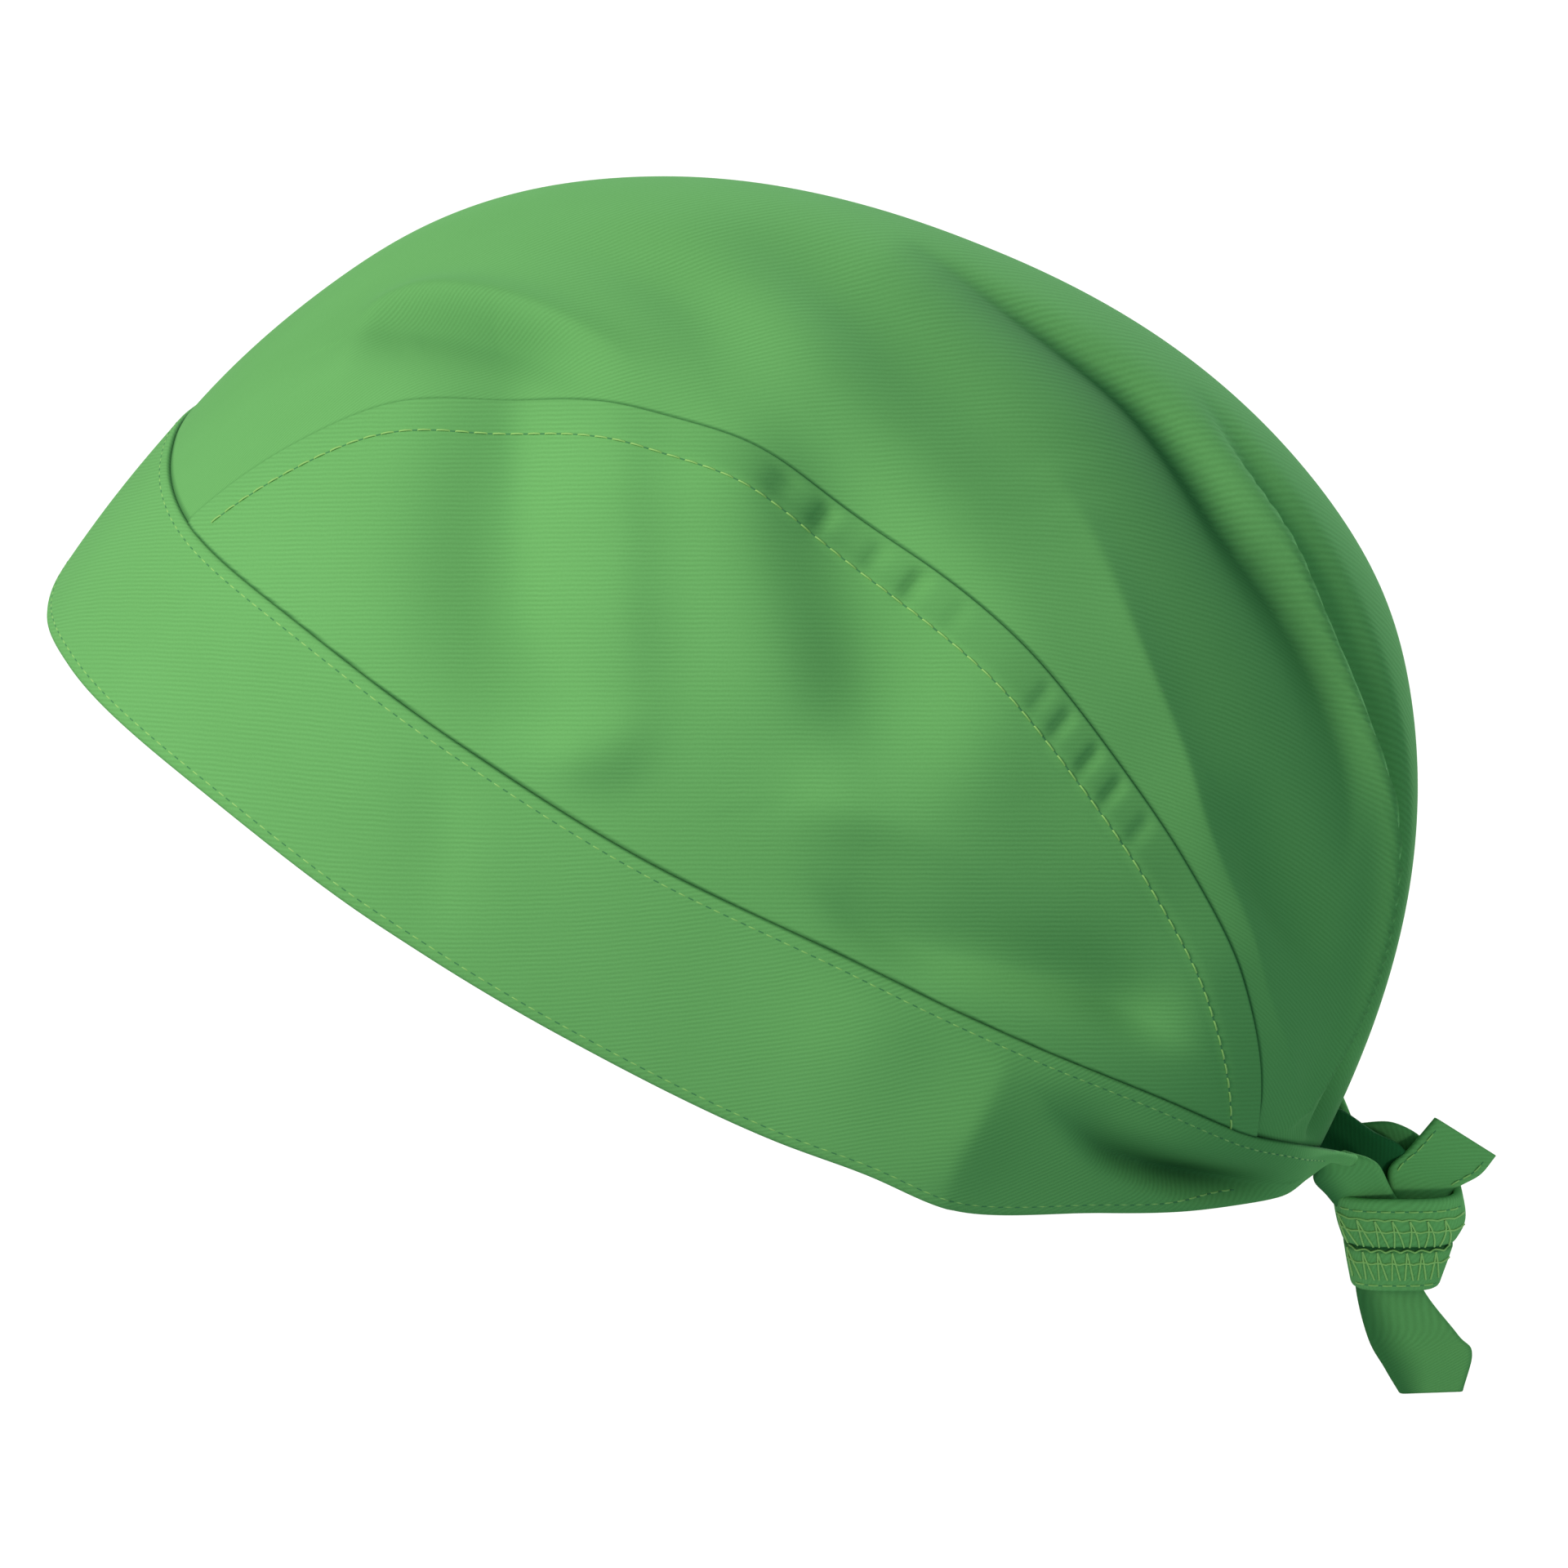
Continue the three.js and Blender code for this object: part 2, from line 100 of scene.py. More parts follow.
# Each fold, placed from the photograph, or on the far side to go with it: its side (L is the
# wearer's left), its spread in mm to the left and right of its line, its roundness (2 is round, 1 a sharp
# crease) and places on its line as (angle over the top, angle out to the side, lift in mm)
FOLDS = {
    "brow_ridge": ("L", 3.5, 4, 1.6, [
        (36, 13, 0), (38.5, 8.5, 1.2), (40.5, 6, 1.8), (44, 7, 2), (48, 10.3, 2), (52, 13.6, 1.8),
        (57, 18.3, 1.2), (61, 22, 0)]),
    "brow_dimple": ("L", 4.5, 8, 2, [
        (37, 8, 0), (40, 9, -2), (44, 11.5, -3), (48, 15.2, -3.2), (52, 18.5, -2.6), (55, 22, -1),
        (57, 25, 0)]),
    "above_brow": ("L", 10, 9, 2, [(53, 4, 0), (60, 9, -2), (65, 13, -3), (68, 18, -2.5), (70, 25, 0)]),
    "crown_hollow": ("L", 11, 10, 2, [
        (67, 3, 0), (73, 7.5, -2.5), (80, 14, -3), (85, 20, -2), (91, 28, 0)]),
    "seam_swell": ("L", 12, 8, 2, [
        (78, 27, 0), (88, 31, 1.5), (100, 35, 1.5), (112, 37.5, 1), (120, 38, 0)]),
    "long_valley": ("L", 4, 15, 1.2, [
        (82, 1, 0), (90, 4.5, -2.5), (97, 6.8, -4), (103, 8.7, -5), (109, 12, -6), (115, 15, -6.5),
        (124, 16.3, -6.5), (129, 17.5, -5.5), (134, 19, -3.5), (139, 21, -1.5), (145, 24, 0)]),
    "long_ridge": ("L", 2, 2.5, 1.3, [
        (111, 7.5, 0), (117, 11, 0.7), (124, 14.3, 1.2), (130, 16.2, 2), (136, 17.3, 2.8), (143, 17.5, 3.2),
        (152, 19, 3), (162, 23, 2), (174, 32, 0.5)]),
    "hidden_valley": ("L", 3.5, 3.2, 2, [
        (108, 3, 0), (112, 6, -2), (116, 8.5, -3.2), (120, 9.8, -3.8), (124, 11.2, -4.2), (130, 12.5, -4.6),
        (136, 13, -5), (143, 13, -5.2), (155, 15, -5.5), (168, 19, -5), (178, 21, -3.5)]),
    "seam_crease": ("L", 6, 10, 1.1, [
        (96, 22, 0), (107, 29.5, 2), (114, 33, 2.6), (122, 35, 2.6), (130, 36.5, 2.6), (138, 36, 2.4),
        (150, 34, 2.2), (158, 30.5, 2), (166, 26.5, 1)]),
    "back_hollow": ("L", 10, 4, 2, [(128, 34, 0), (138, 32.5, -4), (146, 29, -3.5), (152, 24, 0)]),
    "temple_dent": ("L", 12, 11, 2, [
        (49, 18, 0), (48, 24, -3), (46.5, 30, -4.5), (44.5, 36, -5), (43.5, 42, -4.5), (45, 47, -3),
        (48, 53, 0)]),
    "temple_swell": ("L", 6, 11, 2, [
        (58, 25, 0), (58.5, 31, 1.5), (58, 38, 1.5), (57, 45, 1.5), (56, 53, 0)]),
    "temple_foot": ("L", 4.5, 5, 2, [
        (40, 50.5, 0), (44, 52, 1), (49, 53.5, 2.5), (54, 54, 1.5), (59, 51, 0)]),
    "side_ridge": ("L", 9, 11, 2, [
        (68.5, 27, 0), (70, 31, 2.5), (71, 37, 2), (74.5, 43.5, 2), (78, 49, 2), (80, 56, 0)]),
    "side_dent": ("L", 12, 11, 2, [
        (78, 28, 0), (81, 33, -3.5), (85, 39.5, -3), (89, 45, -3), (93, 50, -2.5), (97, 57, 0)]),
    "side_swell": ("L", 9, 9, 2, [(96, 36, 0), (101, 40, 1), (104, 45, 1.2), (105, 50, 0.8), (105, 54, 0)]),
    "low_ridge": ("L", 12, 6.5, 2, [
        (82, 58, 0), (90, 56, 3.5), (100, 54.5, 4), (112, 53, 3), (125, 50, 1.5), (138, 45, 0.5),
        (147, 41.5, 1), (153, 39, 0)]),
    "low_dent": ("L", 7, 4, 2, [
        (94, 63, 0), (108, 64, -2), (122, 62, -3), (133, 56.5, -3), (142, 50, -3.5), (148, 45.5, -3.5),
        (153, 41, 0)]),
    "far_brow_fullness": ("R", 16, 16, 2, [
        (32, 10, 0), (42, 12, 1.3), (48, 12, 1.5), (55, 12, 1), (63, 12, 0)]),
    "far_crown_slack": ("R", 16, 16, 2, [
        (64, 12, 0), (76, 12, -1), (90, 13, -1.5), (104, 12, -1.5), (120, 8, -1.2), (134, 4, 0.4),
        (142, 4, 0)]),
    "far_temple_dent": ("R", 8, 9, 2, [
        (40, 24, 0), (46, 30, -3.5), (45, 38, -5), (45, 46, -3), (46, 51, 0)]),
    "far_temple_swell": ("R", 11, 6, 2, [(57, 26, 0), (59, 32, 3), (57, 43, 1.8), (56.5, 54, 0)]),
    "far_side_ridge": ("R", 12, 9, 2, [(68, 27, 0), (70, 32, 3.2), (74, 42, 3), (78, 55, 0)]),
    "far_side_dent": ("R", 10, 8, 2, [(75, 30, 0), (81, 38, -2.4), (89, 46, -2.4), (97, 56, 0)]),
    "far_low_ridge": ("R", 11, 7, 2, [
        (86, 59, 0), (98, 57, 2.4), (118, 52, 1.6), (140, 45, 1.4), (150, 41, 0)]),
    "far_low_dent": ("R", 7, 5, 2, [
        (94, 63, 0), (112, 63, -2), (132, 57, -3), (146, 48, -2.6), (152, 43, 0)]),
    "far_valley": ("R", 10, 12, 2, [(92, 22, 0), (104, 27, -3.5), (118, 29, -4), (130, 28, 0)]),
    "far_ridge": ("R", 5, 7, 1.7, [
        (128, 20, 0), (142, 22, 2.6), (155, 24, 2.6), (168, 29, 1.6), (174, 32, 0.5)]),
    "far_tuck": ("R", 5, 4, 2, [
        (134, 13, 0), (146, 14.5, -4.5), (160, 16.5, -6), (172, 20, -5.5), (178, 21, -4)]),
}

# points along a fold's line; how far they are blended, in mm and as a share of the narrower side's spread
FOLD_STEPS = 30
LEAST_BLEND, BLEND_SHARE = 4.0, 0.6
TINY = 1e-9


def unit(vectors):
    return vectors / np.linalg.norm(vectors, axis=-1, keepdims=True)


def mix(a, b, share):
    return a + (b - a) * share


def ease(low, high, value):
    share = np.clip((value - low) / (high - low), 0, 1)
    return share * share * (3 - 2 * share)


def through(keys, values, at):
    """A smooth curve through values at keys, read at other places."""
    keys, values = np.asarray(keys, float), np.asarray(values, float)
    slopes = np.gradient(values, keys)
    row = np.clip(np.searchsorted(keys, at) - 1, 0, len(keys) - 2)
    span = keys[row + 1] - keys[row]
    t = np.clip((at - keys[row]) / span, 0, 1)
    start = (1 + 2 * t) * (1 - t) ** 2 * values[row] + t * (1 - t) ** 2 * span * slopes[row]
    return start + t * t * (3 - 2 * t) * values[row + 1] + t * t * (t - 1) * span * slopes[row + 1]


def band_size(bearing, column):
    return through(BAND_SECTIONS[:, 0], BAND_SECTIONS[:, column], np.minimum(np.abs(bearing), BAND_END))


def fan_direction(fan, spread):
    """The direction at an angle over the top from the front and an angle out to the left."""
    fan, spread = np.radians(fan), np.radians(spread)
    return np.stack([np.sin(spread), -np.cos(spread) * np.cos(fan), np.cos(spread) * np.sin(fan)], -1)


def fullness(x, y):
    return mix(BACK_FULLNESS, FRONT_FULLNESS, (1 - y / np.hypot(x, y)) / 2)


def oval(x, y):
    reach = np.where(y < 0, FRONT_REACH, BACK_REACH)
    return ((np.abs(x) / HALF_WIDTH) ** OVAL_POWER + (np.abs(y) / reach) ** OVAL_POWER) ** (1 / OVAL_POWER)


def dome(direction):
    """The point of the cap's smooth form in a direction from the middle of the rim."""
    x, y, z = np.moveaxis(direction, -1, 0)
    power = fullness(x, y + TINY)
    size = oval(x, y) ** power + (np.abs(z) / DOME_HEIGHT) ** power
    return direction * (size ** (-1 / power))[..., None]


def dome_normal(direction):
    step = 0.002
    sideways = unit(np.cross([0.0, 0.0, 1.0], direction) + TINY)
    upward = np.cross(direction, sideways)
    middle = dome(direction)
    right = dome(unit(direction + sideways * step)) - middle
    up = dome(unit(direction + upward * step)) - middle
    return unit(np.cross(right, up))


def height_direction(bearing, height):
    """The direction of the form's point at a bearing from the front and a height above the rim."""
    x, y = np.sin(np.radians(bearing)), -np.cos(np.radians(bearing))
    power = fullness(x, y)
    reach = (1 - (np.abs(height) / DOME_HEIGHT) ** power) ** (1 / power) / oval(x, y)
    return unit(np.stack([x * reach, y * reach, height], -1))


def along_fold(values):
    """A smooth run along a fold's line of the values at its places."""
    return through(np.arange(len(values)), values, np.linspace(0, len(values) - 1, FOLD_STEPS))


def fold_line(places, direction):
    """The points of a fold's line on the form, and the lift at each."""
    first, second, lift = (along_fold(values) for values in zip(*places))
    return dome(direction(first, second)), lift


def lift_of_fold(points, left, right, roundness, line, lift):
    """How far one fold lifts the cloth at points of the form."""
    squares = ((points[:, None] - line) ** 2).sum(-1)
    blend = max(LEAST_BLEND, BLEND_SHARE * min(left, right))
    nearness = np.exp((squares.min(1, keepdims=True) - squares) / blend ** 2)
    nearness /= nearness.sum(1, keepdims=True)
    aside = points - nearness @ line
    is_left = np.einsum("ij,ij->i", aside, np.cross(points, nearness @ np.gradient(line, axis=0))) > 0
    gap = np.linalg.norm(aside, axis=1)
    return nearness @ lift * np.exp(-(gap / np.where(is_left, left, right)) ** roundness)


FOLD_LINES = {
    name: (*sizes, *fold_line(places, fan_direction)) for name, (*sizes, places) in FOLDS.items()
}


def fold_lift(points):
    """How far all the folds together lift the panels' cloth at points of the form."""
    mirrored = points * [-1, 1, 1]
    return sum(
        lift_of_fold(points if sides == "L" else mirrored, *rest) for sides, *rest in FOLD_LINES.values())


# Less light reaches into a hollow, so shade is painted into it: the painted shade's spread to the left
# and right in mm, its roundness, and how deep it is at each place on the fold's line
HOLLOW_SHADES = {
    "brow_dimple": (7, 4, 2, [0, 0.2, 0.3, 0.32, 0.25, 0.1, 0]),
    "crown_hollow": (10, 9, 2, [0, 0.1, 0.14, 0.18, 0.18]),
    "long_valley": (2.2, 14, 1.1, [0, 0.5, 0.75, 0.85, 0.85, 0.75, 0.5, 0.35, 0.2, 0.1, 0]),
    "temple_dent": (4, 9, 2, [0.07, 0.25, 0.2, 0.14, 0.1, 0.07, 0]),
}


def hollow_shade(points):
    """How deep the painted shade of the hollows is at points of the form."""
    shade = 0
    for name, (left, right, roundness, depths) in HOLLOW_SHADES.items():
        *_, line, _ = FOLD_LINES[name]
        shade = shade + lift_of_fold(points, left, right, roundness, line, along_fold(depths))
    return shade


def as_worn(points):
    """From the level cap in millimetres to the tilted cap in metres."""
    x, y, z = np.moveaxis(points, -1, 0)
    cos, sin = math.cos(WORN_TILT), math.sin(WORN_TILT)
    return np.stack([x, y * cos + z * sin, z * cos - y * sin], -1) * MM


def cloth(direction, stand, fold_share=1):
    """Points of the folded cloth, standing out from the form by some millimetres."""
    form = dome(direction)
    return form + dome_normal(direction) * (fold_lift(form) * fold_share + stand)[:, None]


def crowd(share, strength):
    """Even grid shares, drawn together near both edges."""
    return share - strength * np.sin(2 * np.pi * share) / (2 * np.pi)


MERGE_GAP = 1e-6


def grid_piece(name, columns, rows, place, merge=False):
    """A sheet from an even grid: place turns shares along and across into points, places on the flat cut
    and how deep the painted shade is at each point."""
    made = bmesh.new()
    bmesh.ops.create_grid(made, x_segments=columns, y_segments=rows, size=1)
    shares = np.array([vert.co[:2] for vert in made.verts]) / 2 + 0.5
    points, cut, shade = place(np.clip(shares[:, 0], 0, 1), np.clip(shares[:, 1], 0, 1))
    cut_layer = made.loops.layers.uv.new("cut")
    shade_layer = made.verts.layers.float.new("painted_shade")
    for vert, point, vert_shade in zip(made.verts, points, shade):
        vert.co = point
        vert[shade_layer] = vert_shade
    made.verts.index_update()
    for face in made.faces:
        face.smooth = True
        for loop in face.loops:
            loop[cut_layer].uv = cut[loop.vert.index]
    if merge:
        bmesh.ops.remove_doubles(made, verts=made.verts, dist=MERGE_GAP)
        bmesh.ops.holes_fill(made, edges=made.edges, sides=0)
    mesh = bpy.data.meshes.new(name)
    made.to_mesh(mesh)
    made.free()
    piece = bpy.data.objects.new(name, mesh)
    bpy.context.scene.collection.objects.link(piece)
    return piece


def thicken(piece, wall):
    solidify = piece.modifiers.new("wall", "SOLIDIFY")
    solidify.thickness = wall * MM
    solidify.offset = -1


def linear(colour):
    """An sRGB hex colour as linear red, green, blue and alpha."""
    channels = [int(colour[i:i + 2], 16) / 255 for i in (1, 3, 5)]
    return [c / 12.92 if c <= 0.04045 else ((c + 0.055) / 1.055) ** 2.4 for c in channels] + [1]


def add(tree, kind, inputs, **settings):
    """Adds a node; an input is a value or the socket that feeds it."""
    node = tree.nodes.new(kind)
    for name, value in settings.items():
        setattr(node, name, value)
    for name, value in inputs.items():
        if isinstance(value, bpy.types.NodeSocket):
            tree.links.new(value, node.inputs[name])
        else:
            node.inputs[name].default_value = value
    return node


# Cotton twill, piece-dyed green: matt, with fine raised ribs that run aslant the cut and slight unevenness
# in the yarn and the dye. The ribs are drawn a little coarser than the real ones, so that they show, and
# their grooves are painted a little darker, as shade. Seams and hollows get painted shade, darker and
# bluer, as little light reaches into them.
RIB_PITCH, RIB_DEPTH = 0.69, 0.1
RIB_PATCH, DYE_PATCH, YARN = 5, 25, 0.3
WAVE_PERIOD = math.pi / 10
RIB_LIGHT, RIB_DARK = "#6cb068", "#619f5c"
DYE_LIGHT, DYE_DARK = "#ffffff", "#f0f4ee"
YARN_LIGHT, YARN_DARK = "#ffffff", "#eef2ec"
# the painted shade's tint: none where a point is unshaded, darker and bluer where the shade is deepest
UNSHADED_TINT, PAINTED_SHADE_TINT = "#ffffff", "#528a86"


def twill(name, rib_angle):
    """rib_angle is the angle of the ribs to the length of the cut, in degrees."""
    material = bpy.data.materials.new(name)
    material.use_nodes = True
    tree = material.node_tree
    shader = tree.nodes["Principled BSDF"]
    cut = add(tree, "ShaderNodeUVMap", {}, uv_map="cut").outputs["UV"]
    ribs_along = add(tree, "ShaderNodeMapping", {
        "Vector": cut, "Rotation": (0, 0, math.radians(90 - rib_angle))}).outputs["Vector"]
    ribs = add(tree, "ShaderNodeTexWave", {
        "Vector": ribs_along, "Scale": WAVE_PERIOD / (RIB_PITCH * MM), "Distortion": 1.6,
        "Detail": 2.0, "Detail Scale": 0.6}, bands_direction="X")
    patch = add(tree, "ShaderNodeTexNoise", {"Vector": cut, "Scale": 1 / (RIB_PATCH * MM), "Detail": 2.0})
    weave = add(tree, "ShaderNodeMix", {"Factor": patch.outputs["Fac"], "A": 0.5, "B": ribs.outputs["Fac"]})
    dye = add(tree, "ShaderNodeTexNoise", {"Vector": cut, "Scale": 1 / (DYE_PATCH * MM), "Detail": 3.0})
    # painted shade: the ribs' grooves are painted darker than their crests
    rib_colour = add(tree, "ShaderNodeMix", {
        "Factor": weave.outputs["Result"], "A": linear(RIB_DARK), "B": linear(RIB_LIGHT)}, data_type="RGBA")
    dye_colour = add(tree, "ShaderNodeMix", {
        "Factor": dye.outputs["Fac"], "A": linear(DYE_DARK), "B": linear(DYE_LIGHT)}, data_type="RGBA")
    yarn = add(tree, "ShaderNodeTexNoise", {"Vector": cut, "Scale": 1 / (YARN * MM), "Detail": 1.0})
    yarn_colour = add(tree, "ShaderNodeMix", {
        "Factor": yarn.outputs["Fac"], "A": linear(YARN_DARK), "B": linear(YARN_LIGHT)}, data_type="RGBA")
    # painted shade: each point's shade draws the colour towards the shaded tint
    seam = add(tree, "ShaderNodeAttribute", {}, attribute_name="painted_shade")
    shade_tint_mix = add(tree, "ShaderNodeMix", {
        "Factor": seam.outputs["Fac"], "A": linear(UNSHADED_TINT), "B": linear(PAINTED_SHADE_TINT)}, data_type="RGBA")
    colour = rib_colour
    for layer in (dye_colour, yarn_colour, shade_tint_mix):
        colour = add(tree, "ShaderNodeMix", {
            "Factor": 1.0, "A": colour.outputs["Result"], "B": layer.outputs["Result"]},
            data_type="RGBA", blend_type="MULTIPLY")
    bump = add(tree, "ShaderNodeBump", {
        "Height": weave.outputs["Result"], "Strength": 0.3, "Distance": RIB_DEPTH * MM})
    tree.links.new(colour.outputs["Result"], shader.inputs["Base Color"])
    tree.links.new(bump.outputs["Normal"], shader.inputs["Normal"])
    shader.inputs["Roughness"].default_value = 0.9
    shader.inputs["Specular IOR Level"].default_value = 0.1
    return material


def sewn(piece, material, node):
    """A piece of the bandana in its material, standing for its solid."""
    piece.data.materials.append(material)
    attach(piece, "root")
    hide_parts(node)


def corner(bearing):
    x, y, z = height_direction(bearing, band_size(bearing, SEAM))
    return np.degrees([math.atan2(z, -y), math.asin(x)])


WHOLE_SEAM = np.array([corner(FRONT_CORNER), *CROWN_SEAM, corner(BACK_CORNER)])


def crown_seam(along, side):
    fan = mix(WHOLE_SEAM[0, 0], WHOLE_SEAM[-1, 0], along)
    return fan_direction(fan, side * through(WHOLE_SEAM[:, 0], WHOLE_SEAM[:, 1], fan))


def crown_front(across):
    bearing = mix(FRONT_CORNER, -FRONT_CORNER, across)
    return height_direction(bearing, band_size(bearing, SEAM))


def crown_back(across):
    turn = mix(180 - BACK_CORNER, BACK_CORNER - 180, across)
    bearing = 180 - np.abs(turn)
    return height_direction(180 - turn, band_size(bearing, SEAM) - band_size(bearing, TUCK))


def crown_direction(along, across):
    """A place on the crown, as shares of its length and width between its four seams."""
    along, across = along[:, None], across[:, None]
    sideways = mix(crown_seam(along[:, 0], 1), crown_seam(along[:, 0], -1), across)
    lengthways = mix(crown_front(across[:, 0]), crown_back(across[:, 0]), along)
    left = mix(crown_front(0.0), crown_back(0.0), along)
    right = mix(crown_front(1.0), crown_back(1.0), along)
    return unit(sideways + lengthways - mix(left, right, across))


CROWN_LENGTH, CROWN_WIDTH = 225, 105
CROWN_COLUMNS, CROWN_ROWS, CROWN_CROWDING = 240, 190, 0.5
CROWN_RIB_ANGLE = 40
TUCK_DEPTH = 1.2
# painted shade: its depth along the seams where they sink in and where they lie flat, its depth in the
# gathers by the nape, and how far up from the nape it reaches in mm
SEAM_SHADE, FLAT_SEAM_SHADE = 0.7, 0.18
GATHER_SHADE, GATHER_REACH = 0.9, 18

# in mm from a seam: where an edge is tucked under, the folds are sewn flat, and the painted shade fades out
TUCK_RUN, SEWN_FLAT = (-1.1, 0.2), (-1, 8)
LONG_SEAM_FADE, END_SEAM_FADE = (0.1, 0.6), (0.1, 0.45)

# in shares of the length, where the long seams sink in and their painted shade deepens; in shares of the
# width, where the painted shade of the gathers deepens
SEAM_SINKS, GATHERS_DEEPEN = (0.08, 0.4), (0.05, 0.4)


def shade_along_seams(along):
    """Painted shade along the long seams: faint at the forehead, where they lie flat, deeper where they sink
    in.
    """
    return mix(FLAT_SEAM_SHADE, SEAM_SHADE, ease(*SEAM_SINKS, along))


def crown_place(along, across):
    width = np.linalg.norm(dome(crown_seam(along, 1)) - dome(crown_seam(along, -1)), axis=1)
    margin, length_margin = SEAM_TUCK / width, SEAM_TUCK / CROWN_LENGTH
    across = mix(-margin, 1 + margin, crowd(across, CROWN_CROWDING))
    along = mix(-length_margin, 1 + length_margin, along)
    to_side = np.minimum(across, 1 - across) * width
    to_end = np.minimum(along, 1 - along) * CROWN_LENGTH
    to_nape = (1 - along) * CROWN_LENGTH
    tucked = 1 - ease(*TUCK_RUN, np.minimum(to_side, to_end))
    direction = crown_direction(along, across)
    points = as_worn(cloth(direction, -TUCK_DEPTH * tucked, ease(*SEWN_FLAT, to_nape)))
    # painted shade along the seams, at the ends, in the gathers by the nape and in the hollows
    gather_shading = 1 - ease(0, GATHER_REACH, to_nape)
    gather_shading = gather_shading * ease(*GATHERS_DEEPEN, np.minimum(across, 1 - across))
    shade = np.maximum.reduce([
        (1 - ease(*LONG_SEAM_FADE, to_side)) * shade_along_seams(along),
        SEAM_SHADE * (1 - ease(*END_SEAM_FADE, to_end)),
        GATHER_SHADE * gather_shading,
        hollow_shade(dome(direction)),
    ])
    return points, np.stack([along * CROWN_LENGTH, across * CROWN_WIDTH], -1) * MM, shade


crown = grid_piece("crown", CROWN_COLUMNS, CROWN_ROWS, crown_place)
thicken(crown, PANEL_WALL)
sewn(crown, twill("green_cotton_twill_crown", CROWN_RIB_ANGLE), "crown_panel")

# Side panels: half-moons of the same twill between the headband and the crown, one on each side.
# The upper edge is turned under, laid over the crown's edge and topstitched through both,
# and the longer cut of the curved edge is eased in as small puckers.
SIDE_STAND = 0.3
SIDE_COLUMNS, SIDE_ROWS, SIDE_CROWDING = 240, 90, 0.9
SIDE_RIB_ANGLE = 0
TOPSTITCH_INSET = 6.3
# the turned edge's radius and drop in mm, and where the painted shade on it fades out, in mm from the seam
EDGE_RADIUS, EDGE_DROP, EDGE_FADE = 0.45, 0.4, (0, 0.4)
DOUBLED_RISE, DOUBLED_FADE = 0.3, (TOPSTITCH_INSET, TOPSTITCH_INSET + 0.8)
GROOVE_DEPTH, GROOVE_BREADTH = 0.2, 0.7
UNDER_BAND = 1.5
# how deep the painted shade is on the eased stretch, and where it fades out, in mm from the seam
EASED_SHADE, EASED_FADE = 0.14, (TOPSTITCH_INSET - 1, TOPSTITCH_INSET)

# in shares of the way along the seam: the panel's tips, the row of stitches, and where the painted shade on
# the eased stretch begins and ends
SIDE_TIPS, SIDE_STITCHED = (0.003, 0.997), (0.03, 0.985)
EASED_START, EASED_END = (0.3, 0.36), (0.74, 0.8)

# the panels lean in by about this much, so their cut is laid out square to it
SIDE_LEAN = math.radians(22)

# share of the way along the seam, depth and breadth in mm of each pucker
PUCKERS = [
    (0.381, 0.7, 2.2), (0.411, 1.0, 1.4), (0.451, 0.6, 1.4), (0.482, 1.1, 1.4), (0.515, 0.3, 1.3),
    (0.594, 0.4, 1.2), (0.618, 0.65, 1.2), (0.651, 0.7, 1.2), (0.68, 0.65, 1.2), (0.715, 0.4, 1.4),
]

# how far from the seam the puckers deepen and fade out, in mm
PUCKER_RISE, PUCKER_FADE = (0, 2.2), (3.6, TOPSTITCH_INSET + 1.2)


def rounded(distance, radius):
    """How far below the cloth's face a turned edge lies, at a distance from the edge."""
    share = np.clip(1 - distance / radius, 0, 1)
    return radius * (1 - np.sqrt(np.clip(1 - share * share, 0, 1)))


def side_edges(along, side):
    bearing = side * mix(FRONT_CORNER, BACK_CORNER, along)
    low = height_direction(bearing, band_size(bearing, SEAM))
    high = crown_seam(along, side)
    return low, high, np.linalg.norm(dome(low) - dome(high), axis=1)


def puckered(along, to_seam):
    """How deep the puckers dip between the turned edge and the topstitching."""
    dip = 0
    for place, depth, breadth in PUCKERS:
        dip = dip + depth * np.exp(-((along - place) * CROWN_LENGTH / breadth) ** 2)
    return dip * ease(*PUCKER_RISE, to_seam) * (1 - ease(*PUCKER_FADE, to_seam))


def side_surface(along, across, side, lift=0):
    """Points of a side panel, across from the headband's seam to the crown's."""
    low, high, width = side_edges(along, side)
    to_seam, to_band = (1 - across) * width, across * width
    doubled = DOUBLED_RISE * (1 - ease(*DOUBLED_FADE, to_seam))
    sunk = GROOVE_DEPTH * np.exp(-((to_seam - TOPSTITCH_INSET) / GROOVE_BREADTH) ** 2)
    sunk = sunk + rounded(to_seam, EDGE_RADIUS) + EDGE_DROP * np.clip(1 - to_seam / TOPSTITCH_INSET, 0, 1)
    under = UNDER_BAND * (1 - ease(*TUCK_RUN, to_band))
    stand = SIDE_STAND + doubled - sunk - under - puckered(along, to_seam) + lift
    return as_worn(cloth(unit(mix(low, high, across[:, None])), stand))


def side_place(side):
    def place(along, across):
        along = mix(*SIDE_TIPS, along if side > 0 else 1 - along)
        low, high, width = side_edges(along, side)
        across = mix(-SEAM_TUCK / (width + SEAM_TUCK), 1, crowd(across, SIDE_CROWDING))
        to_seam, to_band = (1 - across) * width, across * width
        points = side_surface(along, across, side)
        up_the_panel = points @ [-math.sin(SIDE_LEAN), 0, math.cos(SIDE_LEAN)]
        # painted shade along the turned edge, at the headband's seam, on the eased stretch and in the
        # hollows
        eased_stretch_shade = ease(*EASED_START, along) * (1 - ease(*EASED_END, along))
        shade = np.maximum.reduce([
            (1 - ease(*EDGE_FADE, to_seam)) * shade_along_seams(along),
            SEAM_SHADE * (1 - ease(*END_SEAM_FADE, to_band)),
            EASED_SHADE * eased_stretch_shade * (1 - ease(*EASED_FADE, to_seam)),
            hollow_shade(dome(unit(mix(low, high, across[:, None])))),
        ])
        return points, np.stack([points[:, 1], up_the_panel], -1), shade
    return place


